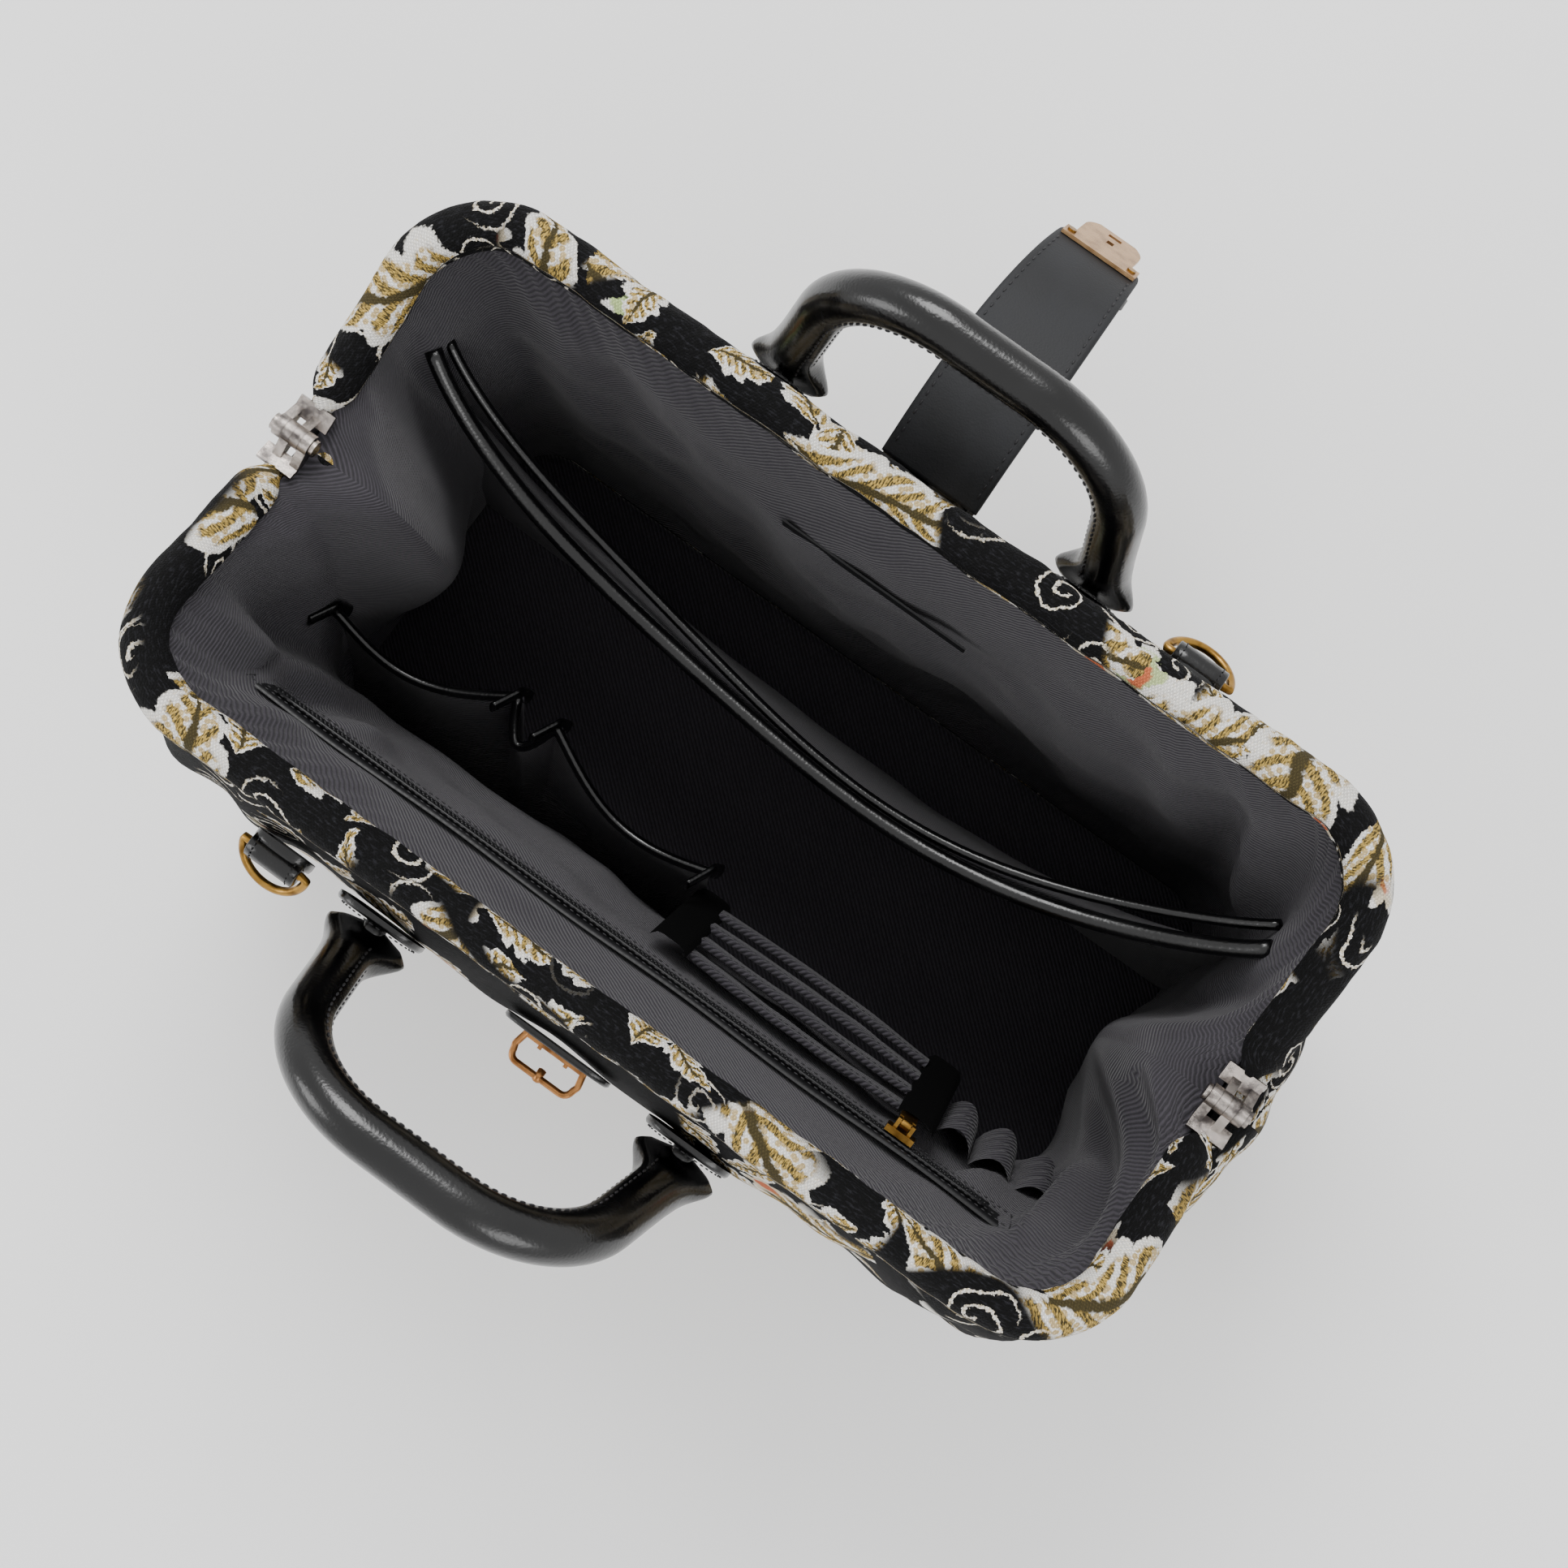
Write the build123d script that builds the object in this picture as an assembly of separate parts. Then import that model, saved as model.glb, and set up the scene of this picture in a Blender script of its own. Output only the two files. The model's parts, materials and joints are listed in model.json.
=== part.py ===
from build123d import *
import math
import os

# Doctor bag, in millimetres. +X runs along the bag, -Y is the front, +Z is up.
# The origin is under the middle foot. The bag stands with its mouth open.

# Driving dimensions
HINGE_Z = 240.0           # the two mouth hinges, with the mouth open
OPEN_ANGLE = 18.0         # each frame half above the horizontal
ARM_REACH = 110.5         # hinge axis to top bar
ARM_OFFSET = 9.5          # arm centre line, beside the hinge axis
ARM_X = 211.0             # arm centre line, from the middle of the bag
CORNER_R = 38.0           # bend of the frame rail
SLEEVE_R = 9.0
SLEEVE_BORE_R = 5.0
RAIL_WIDTH = 6.0
RAIL_THICK = 3.0
WALL_HALF = 195.0
WALL_LINE = [(-97.0, 8.0), (-124.0, 190.0), (-124.0, 214.0), (-115.5, 247.0)]   # outer face, (y, z)
PANEL_T = 2.0
STIFFENER_T = 1.5
LINING_T = 1.0
FRONT_LINING = [(-74.0, 20.0), (-62.0, 115.0), (-84.0, 226.0), (-102.0, 245.0)]  # hangs clear of the wall
BACK_LINING = [(-88.0, 15.0), (-88.0, 206.0), (-101.0, 245.0)]                   # mirrored to the back
GUSSET_TOP = 221.0
GUSSET_X = 196.0
FLAT_Z = (190.0, 214.0)   # the upright band of the wall, which carries the fittings
HANDLE_MIDDLE = -11.0      # the handles sit a little left of the middle
HANDLE_X = 72.0           # feet, from the handle's middle
HANDLE_TOP_X = 60.0       # the legs lean in
HANDLE_AXIS = (-137.0, 202.0)
HANDLE_HEIGHT = 96.0
HANDLE_BEND = 50.0
GRIP_R = 10.0
CORE_R = 4.0
FRONT_HANDLE_ANGLE = 59.0
BACK_HANDLE_ANGLE = 76.0
PIN_R = 2.5
RING_R = 14.4
RING_WIRE_R = 1.8
RING_AXIS = (-131.5, 208.0)
FRONT_RING_X = -128.0
BACK_RING_X = 112.0
STRAP_WIDTH = 44.0
STRAP_TIP_WIDTH = 37.0
STRAP_T = 3.5
STRAP_START = (129.0, 216.0)
STRAP_X = -12.0
STRAP_LEAD = 12.0
STRAP_BEND = 80.0
STRAP_RISE = 30.0         # degrees above the horizontal, where it leaves the wall
STRAP_TURN = 85.0         # degrees that it droops
ZIP_HALF = 170.0
ZIP_UP = 103.0            # along the lining's upper slope
SLIDER_X = 122.0
POCKET_X = (-178.0, 2.0)
POCKET_SPLITS = (-98.0, -78.0)
POCKET_DEPTH = 16.0
POCKET_Z = (28.0, 155.0)
PANEL_SKIN = 2.5
CARD_Z = (118.0, 181.0)
CARD_STEPS = 4
CARD_X = (17.0, 117.0)
PEN_X = (141.0, 161.0, 181.0)
PEN_UP = (10.0, 18.0)
FOOT_R = 7.0
FOOT_H = 2.0
FEET = [(0, 0), (-170, -75), (-170, 75), (170, -75), (170, 75)]

BAND_Y = WALL_LINE[1][0]

nodes = {}


def block(x, y, z):
    """A box from three (low, high) pairs."""
    size = [pair[1] - pair[0] for pair in (x, y, z)]
    middle = [(pair[1] + pair[0]) / 2 for pair in (x, y, z)]
    return Pos(*middle) * Box(*size)


def rod(x, y, z, radius):
    """A cylinder along X, from x[0] to x[1]."""
    return Pos((x[0] + x[1]) / 2, y, z) * Rot(0, 90, 0) * Cylinder(radius, x[1] - x[0])


def peg(x, y, z, radius):
    """A cylinder along Y, from y[0] to y[1]."""
    return Pos(x, (y[0] + y[1]) / 2, z) * Rot(90, 0, 0) * Cylinder(radius, y[1] - y[0])


def slab(points, x):
    """A prism along X whose section is a polygon of (y, z) points."""
    section = Plane.YZ * make_face(Polyline(*[(p[0], p[1]) for p in points], close=True))
    return Pos(x[0], 0, 0) * extrude(section, x[1] - x[0])


def fused(*pieces):
    """One solid from pieces that overlap or touch."""
    whole = pieces[0]
    for piece in pieces[1:]:
        whole = whole + piece
    return whole


def to_back(piece):
    return mirror(piece, about=Plane.XZ)


def to_left(piece):
    return mirror(piece, about=Plane.YZ)


# Base: panel, board, lining and feet
def add_base():
    panel = block((-199, 199), (-97, 97), (FOOT_H, 4))
    board = block((-192, 192), (-86, 86), (4, 7))
    feet = []
    for x, y in FEET:
        shank = Pos(x, y, 4.5) * Cylinder(1.5, 5)
        hole = Pos(x, y, 4.5) * Cylinder(1.6, 6)
        panel = panel - hole
        board = board - hole
        cap = Pos(x, y, FOOT_H / 2) * Cylinder(FOOT_R, FOOT_H)
        feet.append(cap + shank)
    nodes["bottom_panel"] = panel
    nodes["bottom_board"] = board
    nodes["bottom_lining"] = block((-195, 195), (-86, 86), (7, 8))
    nodes["base_feet"] = Compound(children=feet)


def gusset_section():
    """Half of a gusset's outline doubled about the middle: the line of the walls, cut off below the arms."""
    low, knee, band, top = WALL_LINE
    share = (GUSSET_TOP - band[1]) / (top[1] - band[1])
    edge = band[0] + share * (top[0] - band[0])
    left = [(low[0], 4.0), low, knee, band, (edge, GUSSET_TOP)]
    right = [(-y, z) for y, z in reversed(left)]
    return left + right


def add_gussets():
    section = gusset_section()
    lining = slab(section, (GUSSET_X, GUSSET_X + 1))
    outer = slab(section, (GUSSET_X + 1, GUSSET_X + 3))
    nodes["right_gusset"] = outer
    nodes["left_gusset"] = to_left(outer)
    nodes["right_gusset_lining"] = lining
    nodes["left_gusset_lining"] = to_left(lining)


def add_divider():
    """The padded laptop sleeve panel leans forward from the floor and carries a piped top edge."""
    foot_y, slope, top = 48.6, 0.24, 175.0
    pad = [(foot_y - 3, 8), (foot_y + 3, 8)]
    pad += [(foot_y + 3 - slope * (top - 8), top), (foot_y - 3 - slope * (top - 8), top)]
    nodes["laptop_divider"] = slab(pad, (-190, 190))
    head = foot_y - slope * (top - 8)
    nodes["divider_piping"] = block((-190, 190), (head - 3.6, head + 3.6), (top, top + 3.5))


# Frame halves: modelled flat as (x, distance from the hinge axis, offset), then tilted open
def frame_plane():
    tilt = math.radians(OPEN_ANGLE)
    return Plane(origin=(0, 0, HINGE_Z), x_dir=(1, 0, 0), z_dir=(0, -math.sin(tilt), -math.cos(tilt)))


def hoop(half_width, reach, radius, start):
    """The line of a frame half, from one arm's end round to the other."""
    return FilletPolyline(
        (-half_width, start, ARM_OFFSET), (-half_width, reach, ARM_OFFSET),
        (half_width, reach, ARM_OFFSET), (half_width, start, ARM_OFFSET), radius=radius)


def hinge_leaf(first_knuckle):
    """A right-hand leaf: two knuckles, a cross plate and two prongs that lie on the rail."""
    leaf = block((203, 218.8), (5.5, 13), (5.5, 7.5))
    for side in (208.8, 211.8):
        leaf = leaf + block((side, side + 1.6), (10, 34), (6.2, ARM_OFFSET - RAIL_THICK / 2))
    for x in (first_knuckle, first_knuckle + 8):
        leaf = leaf + rod((x, x + 3.8), 0, 0, 4.5)
        web = [(-0.5, 4.3), (5.5, 7.5), (9, 7.5), (9, 5.5), (4.3, -0.5), (0, 0)]
        leaf = leaf + slab(web, (x, x + 3.8))
    return leaf - rod((200, 222), 0, 0, 2.06)


def add_frames():
    plane = frame_plane()
    line = hoop(ARM_X, ARM_REACH, CORNER_R, 14)
    start = Plane(origin=line @ 0, z_dir=line % 0)
    sleeve = sweep(start * (Circle(SLEEVE_R) - Circle(SLEEVE_BORE_R)), path=line)
    half = RAIL_WIDTH / 2
    outer = RectangleRounded(2 * (ARM_X + half), 2 * (ARM_REACH + half), CORNER_R + half)
    inner = RectangleRounded(2 * (ARM_X - half), 2 * (ARM_REACH - half), CORNER_R - half)
    keep = Pos(0, 15 + 100) * Rectangle(500, 200)
    strip = (outer - inner) & keep
    rail = Pos(0, 0, ARM_OFFSET - RAIL_THICK / 2) * extrude(strip, RAIL_THICK)
    front_leaf = hinge_leaf(203.0)
    back_leaf = hinge_leaf(207.0)
    nodes["front_sleeve"] = plane * sleeve
    nodes["front_rail"] = plane * rail
    nodes["front_right_hinge_leaf"] = plane * front_leaf
    nodes["front_left_hinge_leaf"] = to_left(plane * front_leaf)
    nodes["back_sleeve"] = to_back(plane * sleeve)
    nodes["back_rail"] = to_back(plane * rail)
    nodes["back_right_hinge_leaf"] = to_back(plane * back_leaf)
    nodes["back_left_hinge_leaf"] = to_left(to_back(plane * back_leaf))
    shaft = rod((201.2, 220.6), 0, HINGE_Z, 2.0)
    heads = rod((201.2, 202.8), 0, HINGE_Z, 3.4) + rod((219.1, 220.6), 0, HINGE_Z, 3.4)
    nodes["right_hinge_pin"] = shaft + heads
    nodes["left_hinge_pin"] = to_left(shaft + heads)


# Walls: layers of one bent line, each shifted inward from the outer face
def layer(shift, thick, line=WALL_LINE):
    outside = [(y + shift, z) for y, z in line]
    inside = [(y + shift + thick, z) for y, z in reversed(line)]
    return slab(outside + inside, (-WALL_HALF, WALL_HALF))


def add_walls():
    panel = layer(0, PANEL_T)
    stiffener = layer(PANEL_T, STIFFENER_T)
    for name, piece in (("panel", panel), ("stiffener", stiffener)):
        nodes["front_" + name] = piece
        nodes["back_" + name] = to_back(piece)
    nodes["front_lining"] = layer(0, LINING_T, FRONT_LINING)
    nodes["back_lining"] = to_back(layer(0, LINING_T, BACK_LINING))
    pouch = [(-77, 40), (-69, 118), (-89, 215), (-93, 215), (-73, 118), (-81, 40)]
    nodes["zip_pouch"] = slab(pouch, (-160, 160))


def lining_plane(low, high):
    """The inside of one slope of the front lining: x along the bag, y up the slope, -z into the bag."""
    run = Vector(0, high[0] - low[0], high[1] - low[1]).normalized()
    return Plane(origin=(0, low[0] + LINING_T, low[1]), x_dir=(1, 0, 0), z_dir=(0, -run.Z, run.Y))


def lining_y(z):
    """The inside face of the front lining at a height."""
    for (y0, z0), (y1, z1) in zip(FRONT_LINING, FRONT_LINING[1:]):
        if z <= z1:
            return y0 + LINING_T + (y1 - y0) * (z - z0) / (z1 - z0)


def off_lining(depth, heights):
    """Points that stand a given depth off the lining's inside face."""
    return [(lining_y(z) + depth, z) for z in heights]


def add_slip_pocket():
    bottom, top = POCKET_Z
    knee = FRONT_LINING[1][1]
    heights = (bottom, knee, top)
    behind = off_lining(0, heights)
    near = off_lining(POCKET_DEPTH, heights)
    far = off_lining(POCKET_DEPTH + PANEL_SKIN, heights)
    pocket = slab(near + far[::-1], POCKET_X)
    floor = off_lining(0, (bottom, bottom + PANEL_SKIN))
    pocket = pocket + slab(floor + off_lining(POCKET_DEPTH + 1, (bottom + PANEL_SKIN, bottom)), POCKET_X)
    ends = (POCKET_X[0], POCKET_X[1] - PANEL_SKIN)
    for x in ends + tuple(split - PANEL_SKIN / 2 for split in POCKET_SPLITS):
        pocket = pocket + slab(behind + far[::-1], (x, x + PANEL_SKIN))
    nodes["slip_pocket"] = pocket
    low = lining_y(top) + POCKET_DEPTH
    nodes["pocket_binding"] = block(POCKET_X, (low, low + 4.5), (top, top + 4))


def card_face(z):
    """The front of the card block, thick at the bottom and thin at the top."""
    share = (z - CARD_Z[0]) / (CARD_Z[1] - CARD_Z[0])
    return lining_y(z) + 11 - 9 * share


def add_cards():
    step = (CARD_Z[1] - CARD_Z[0]) / CARD_STEPS
    face = []
    for index in range(CARD_STEPS):
        z = CARD_Z[0] + index * step
        face += [(card_face(z), z), (card_face(z + step) + 1.5, z + step)]
    back = off_lining(0, CARD_Z)
    nodes["card_slots"] = slab(back + face[::-1], CARD_X)
    strip = back + [(card_face(z) + 3, z) for z in reversed(CARD_Z)]
    left = slab(strip, (CARD_X[0] - 11, CARD_X[0] - 0.5))
    right = slab(strip, (CARD_X[1] + 0.5, CARD_X[1] + 11))
    nodes["velvet_strips"] = Compound(children=[left, right])


def add_pen_loops():
    plane = lining_plane(FRONT_LINING[1], FRONT_LINING[2])
    height = PEN_UP[1] - PEN_UP[0]
    loops = []
    for x in PEN_X:
        ring = Cylinder(9.7, height) - Cylinder(8.5, height)
        ring = Pos(x, (PEN_UP[0] + PEN_UP[1]) / 2, 0) * Rot(90, 0, 0) * ring
        loops.append(plane * (ring & block((x - 10, x + 10), (0, 40), (-10, 0))))
    nodes["pen_loops"] = Compound(children=loops)


def add_zip():
    plane = lining_plane(FRONT_LINING[1], FRONT_LINING[2])
    nodes["zip_tape"] = plane * block((-ZIP_HALF, ZIP_HALF), (ZIP_UP - 10, ZIP_UP + 10), (-0.5, 0))
    depth = (-2.3, -0.5)
    rows = [block((-164, 164), (ZIP_UP + low, ZIP_UP + low + 2.8), depth) for low in (-3, 0.2)]
    stops = [block((side - 1.5, side + 1.5), (ZIP_UP - 3, ZIP_UP + 3), depth) for side in (-166, 166)]
    nodes["zip_teeth"] = Compound(children=[plane * piece for piece in rows + stops])
    face = depth[0] - 0.3
    body = block((SLIDER_X - 6, SLIDER_X + 6), (ZIP_UP - 4, ZIP_UP + 4), (face - 2.5, face))
    pin = face - 5.0
    for x in (SLIDER_X - 3.8, SLIDER_X + 2.3):
        body = body + block((x, x + 1.5), (ZIP_UP - 2, ZIP_UP + 2), (pin - 1.5, face - 2.5))
    nodes["zip_slider"] = plane * (body + rod((SLIDER_X - 2.5, SLIDER_X + 2.5), ZIP_UP, pin, 0.9))
    eye = rod((SLIDER_X - 1.9, SLIDER_X + 1.9), ZIP_UP, pin, 2.0)
    neck = block((SLIDER_X - 1.9, SLIDER_X + 1.9), (ZIP_UP - 12, ZIP_UP), (pin - 0.7, pin + 0.7))
    tag = block((SLIDER_X - 3.5, SLIDER_X + 3.5), (ZIP_UP - 34, ZIP_UP - 10), (pin - 0.7, pin + 0.7))
    puller = eye + neck + tag - rod((SLIDER_X - 3, SLIDER_X + 3), ZIP_UP, pin, 0.97)
    nodes["zip_puller"] = plane * puller


# Handles: an arch between two forked feet, on pins in leather tabs
def handle_parts(angle):
    tilt = math.radians(angle)
    axis = (HANDLE_MIDDLE, *HANDLE_AXIS)
    place = Plane(origin=axis, x_dir=(1, 0, 0), z_dir=(0, -math.sin(tilt), -math.cos(tilt)))
    line = FilletPolyline(
        (-HANDLE_X, 14, 0), (-HANDLE_X, 20, 0), (-HANDLE_TOP_X, HANDLE_HEIGHT, 0),
        (HANDLE_TOP_X, HANDLE_HEIGHT, 0), (HANDLE_X, 20, 0), (HANDLE_X, 14, 0), radius=HANDLE_BEND)
    start = Plane(origin=line @ 0, z_dir=line % 0)
    grip = sweep(start * (Circle(GRIP_R) - Circle(CORE_R + 0.2)), path=line)
    core = sweep(start * Circle(CORE_R), path=line)
    for side in (-HANDLE_X, HANDLE_X):
        grip = grip + block((side - 10.2, side + 10.2), (9, 13.8), (-7, 7))
        grip = grip + block((side - 10.2, side + 10.2), (13.7, 16), (-7, 7))
        for low in (-10.2, 5.4):
            grip = grip + block((side + low, side + low + 4.8), (-6, 9.5), (-6, 6))
        grip = grip - rod((side - 12, side + 12), 0, 0, PIN_R + 0.07)
        grip = grip - Pos(side, 20, 0) * Rot(90, 0, 0) * Cylinder(CORE_R + 0.2, 12.0)
    return place * grip, place * core


def handle_tabs():
    axis_y, axis_z = HANDLE_AXIS
    tabs, pins = [], []
    for side in (HANDLE_MIDDLE - HANDLE_X, HANDLE_MIDDLE + HANDLE_X):
        tab = block((side - 15, side + 15), (BAND_Y - 2.5, BAND_Y), FLAT_Z)
        tab = tab + block((side - 5, side + 5), (axis_y, BAND_Y - 2), (axis_z - 5, axis_z + 5))
        tab = tab + rod((side - 5, side + 5), axis_y, axis_z, 5)
        tabs.append(tab - rod((side - 6, side + 6), axis_y, axis_z, PIN_R + 0.02))
        pins.append(rod((side - 11.5, side + 11.5), axis_y, axis_z, PIN_R))
    return Compound(children=tabs), Compound(children=pins)


def add_handles():
    grip, core = handle_parts(FRONT_HANDLE_ANGLE)
    tabs, pins = handle_tabs()
    nodes["front_handle"] = grip
    nodes["front_handle_core"] = core
    nodes["front_handle_tabs"] = tabs
    nodes["front_handle_pins"] = pins
    grip, core = handle_parts(BACK_HANDLE_ANGLE)
    nodes["back_handle"] = to_back(grip)
    nodes["back_handle_core"] = to_back(core)
    nodes["back_handle_tabs"] = to_back(tabs)
    nodes["back_handle_pins"] = to_back(pins)


# D-rings in leather loops
def ring_and_loop(x):
    y, z = RING_AXIS
    loop = rod((x - 11, x + 11), y, z, 5) + block((x - 11, x + 11), (y, BAND_Y), (z - 5, z + 5))
    loop = loop - rod((x - 12, x + 12), y, z, RING_WIRE_R)
    arc = Torus(RING_R, RING_WIRE_R) & block((-20, 20), (0, 20), (-5, 5))
    bar = rod((-RING_R, RING_R), 0, 0, RING_WIRE_R - 0.1)
    ring = arc + bar
    slope = math.radians(-45)
    place = Plane(origin=(x, y, z), x_dir=(1, 0, 0), z_dir=(0, -math.sin(slope), -math.cos(slope)))
    return place * ring, loop


def add_rings():
    nodes["front_ring"], nodes["front_ring_loop"] = ring_and_loop(FRONT_RING_X)
    ring, loop = ring_and_loop(BACK_RING_X)
    nodes["back_ring"] = to_back(ring)
    nodes["back_ring_loop"] = to_back(loop)


# Closure strap with its tongue plate, and the lock case that takes it
def strap_curve():
    """The strap's middle line: a short straight run out of the wall, then a long droop."""
    start = Vector(0, *STRAP_START)
    way = Vector(0, math.cos(math.radians(STRAP_RISE)), math.sin(math.radians(STRAP_RISE)))
    knee = start + way * STRAP_LEAD
    down = Vector(0, way.Z, -way.Y)
    centre = knee + down * STRAP_BEND

    def on_arc(angle):
        a = math.radians(angle)
        return centre - down * (STRAP_BEND * math.cos(a)) + way * (STRAP_BEND * math.sin(a))

    line = Line(start, knee) + ThreePointArc(knee, on_arc(STRAP_TURN / 2), on_arc(STRAP_TURN))
    return line, on_arc(STRAP_TURN), math.radians(STRAP_RISE - STRAP_TURN)


def add_strap():
    line, tip, angle = strap_curve()
    start = Plane(origin=line @ 0, x_dir=(1, 0, 0), z_dir=line % 0)
    strap = sweep(start * Rectangle(STRAP_WIDTH, STRAP_T), path=line)
    wide, slim = STRAP_WIDTH / 2, STRAP_TIP_WIDTH / 2
    plan = Polyline((-wide, 120), (-wide, 190), (-slim, 250), (slim, 250), (wide, 190), (wide, 120), close=True)
    strap = strap & extrude(make_face(plan), 400)
    tangent = Vector(0, math.cos(angle), math.sin(angle))
    up = Vector(0, -tangent.Z, tangent.Y)
    end = Plane(origin=tip, x_dir=(1, 0, 0), z_dir=up * 1)
    face = STRAP_T / 2
    sign = 1 if (end.y_dir.dot(tangent) > 0) else -1
    def along(x, run, high):
        low, top = sorted((sign * run[0], sign * run[1]))
        return block(x, (low, top), high)
    bar = along((-17, 17), (-9, 0), (face, face + 1.5))
    tongue = along((-13, 13), (-1, 14), (face, face + 1.5))
    nose = Pos(0, sign * 14, face + 0.75) * Cylinder(13, 1.5)
    nose = nose & along((-13, 13), (13.9, 24), (face, face + 1.5))
    plate = bar + tongue + nose
    plate = plate - along((-3, 3), (17, 20), (0, 9)) - along((-1.5, 1.5), (8, 12), (0, 9))
    screws = []
    for x in (-14, 14):
        hole = Pos(x, sign * -4.5, face) * Cylinder(1.05, 6)
        plate = plate - hole
        strap = strap - end * (Pos(x, sign * -4.5, face) * Cylinder(1.05, 3))
        shank = Pos(x, sign * -4.5, face + 0.25) * Cylinder(1.0, 2.5)
        head = Pos(x, sign * -4.5, face + 1.95) * Cylinder(1.9, 0.9)
        screws.append(end * (shank + head))
    shift = Pos(STRAP_X, 0, 0)
    nodes["closure_strap"] = shift * strap
    nodes["strap_tongue"] = shift * end * plate
    nodes["strap_screws"] = Compound(children=[shift * screw for screw in screws])
    nodes["strap_post"] = shift * end * (Pos(16, sign * -14, -face - 4.8) * Cylinder(4, 4))
    nodes["strap_root"] = shift * block((-22, 22), (-BAND_Y, -BAND_Y + 3.5), (FLAT_Z[0], FLAT_Z[1] - 1))


def add_lock():
    nodes["lock_patch"] = block((-24, 24), (BAND_Y - 2, BAND_Y), FLAT_Z)
    back = BAND_Y - 2
    case = block((-15, 15), (back - 13, back), (190.5, 207))
    case = case - block((-13, 13), (back - 11, back - 2), (192.5, 210))
    button_z = 197.5
    nodes["lock_case"] = case - peg(0, (back - 16, back - 10), button_z, 3.2)
    head = peg(0, (back - 15.5, back - 10.6), button_z, 3.0)
    flange = peg(0, (back - 10.7, back - 9.6), button_z, 4.0)
    nodes["lock_button"] = head + flange
    coil = peg(0, (back - 9.6, back - 4.2), button_z, 2.8) - peg(0, (back - 10, back - 4), button_z, 2.0)
    nodes["lock_spring"] = coil


def add_back_welt():
    inner = -BACK_LINING[1][0] - LINING_T
    nodes["back_welt"] = block((-50, 36), (inner - 0.8, inner), (196, 204))


add_base()
add_gussets()
add_divider()
add_frames()
add_walls()
add_slip_pocket()
add_cards()
add_pen_loops()
add_zip()
add_handles()
add_rings()
add_strap()
add_lock()
add_back_welt()

os.makedirs("parts", exist_ok=True)
for name, piece in nodes.items():
    export_step(piece, f"parts/{name}.step")
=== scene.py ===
import bpy
import json
from math import atan2, copysign, cos, dist, exp, pi, radians, sin, sqrt, tan
import numpy as np
from mathutils import Matrix, Vector, noise


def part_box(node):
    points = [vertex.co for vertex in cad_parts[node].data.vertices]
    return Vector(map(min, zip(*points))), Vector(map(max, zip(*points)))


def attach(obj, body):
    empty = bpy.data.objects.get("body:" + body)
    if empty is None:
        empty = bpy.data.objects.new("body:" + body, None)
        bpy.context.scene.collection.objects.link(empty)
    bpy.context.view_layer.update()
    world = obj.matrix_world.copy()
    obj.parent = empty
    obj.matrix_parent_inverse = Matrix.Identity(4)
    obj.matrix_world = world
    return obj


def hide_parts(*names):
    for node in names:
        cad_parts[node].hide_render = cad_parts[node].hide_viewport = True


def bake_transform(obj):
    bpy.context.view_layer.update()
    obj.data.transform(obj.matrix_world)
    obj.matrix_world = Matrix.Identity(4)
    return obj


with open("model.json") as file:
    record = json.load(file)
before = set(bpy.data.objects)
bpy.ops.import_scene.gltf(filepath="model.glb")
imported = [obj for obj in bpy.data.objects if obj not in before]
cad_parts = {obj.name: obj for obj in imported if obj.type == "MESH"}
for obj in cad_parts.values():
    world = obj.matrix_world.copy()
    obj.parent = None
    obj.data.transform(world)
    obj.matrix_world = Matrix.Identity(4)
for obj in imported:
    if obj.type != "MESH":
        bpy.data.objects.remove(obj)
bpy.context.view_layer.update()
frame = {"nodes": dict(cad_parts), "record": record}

# The frame halves, as part.py has them, in metres
HINGE_Z = 0.24
OPEN_ANGLE = radians(18)
ARM_REACH = 0.1105
ARM_OFFSET = 0.0095
ARM_X = 0.211
CORNER_R = 0.038
SLEEVE_R = 0.009
SLEEVE_START = 0.014
HANDLE_MIDDLE = -0.011
HANDLE_X = 0.072
HANDLE_TOP_X = 0.06
HANDLE_AXIS = (-0.137, 0.202)
HANDLE_HEIGHT = 0.096
HANDLE_BEND = 0.05
GRIP_R = 0.01
FRONT_HANDLE_ANGLE = 59
BACK_HANDLE_ANGLE = 76
FRONT_RING_X = -0.128
BACK_RING_X = 0.112
RING_AXIS = (-0.1315, 0.208)
RING_R = 0.0144
RING_WIRE_R = 0.0018
STRAP_X = -0.012
STRAP_START = (0.129, 0.216)
STRAP_LEAD = 0.012
STRAP_BEND = 0.08
STRAP_RISE = radians(30)
STRAP_TURN = radians(85)
STRAP_THICK = 0.0036

# The weave: the pitch of the chenille's ribs and threads, and of the lining's twill
RIB_PITCH = 0.0021
THREAD_PITCH = 0.0013
TWILL_PITCH = 0.0026

# The light and the camera
WORLD_STRENGTH = 1.12
VIEW_AZIMUTH = radians(35.9)
VIEW_ELEVATION = radians(83.5)
VIEW_TARGET = (0.0127, 0.0008, 0.24)
LENS = 62.7

# Radians of wave for each metre round the cloth: the fine pleats under the frame, and the wide gathers
PLEATS = 640
GATHERS = 150


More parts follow.
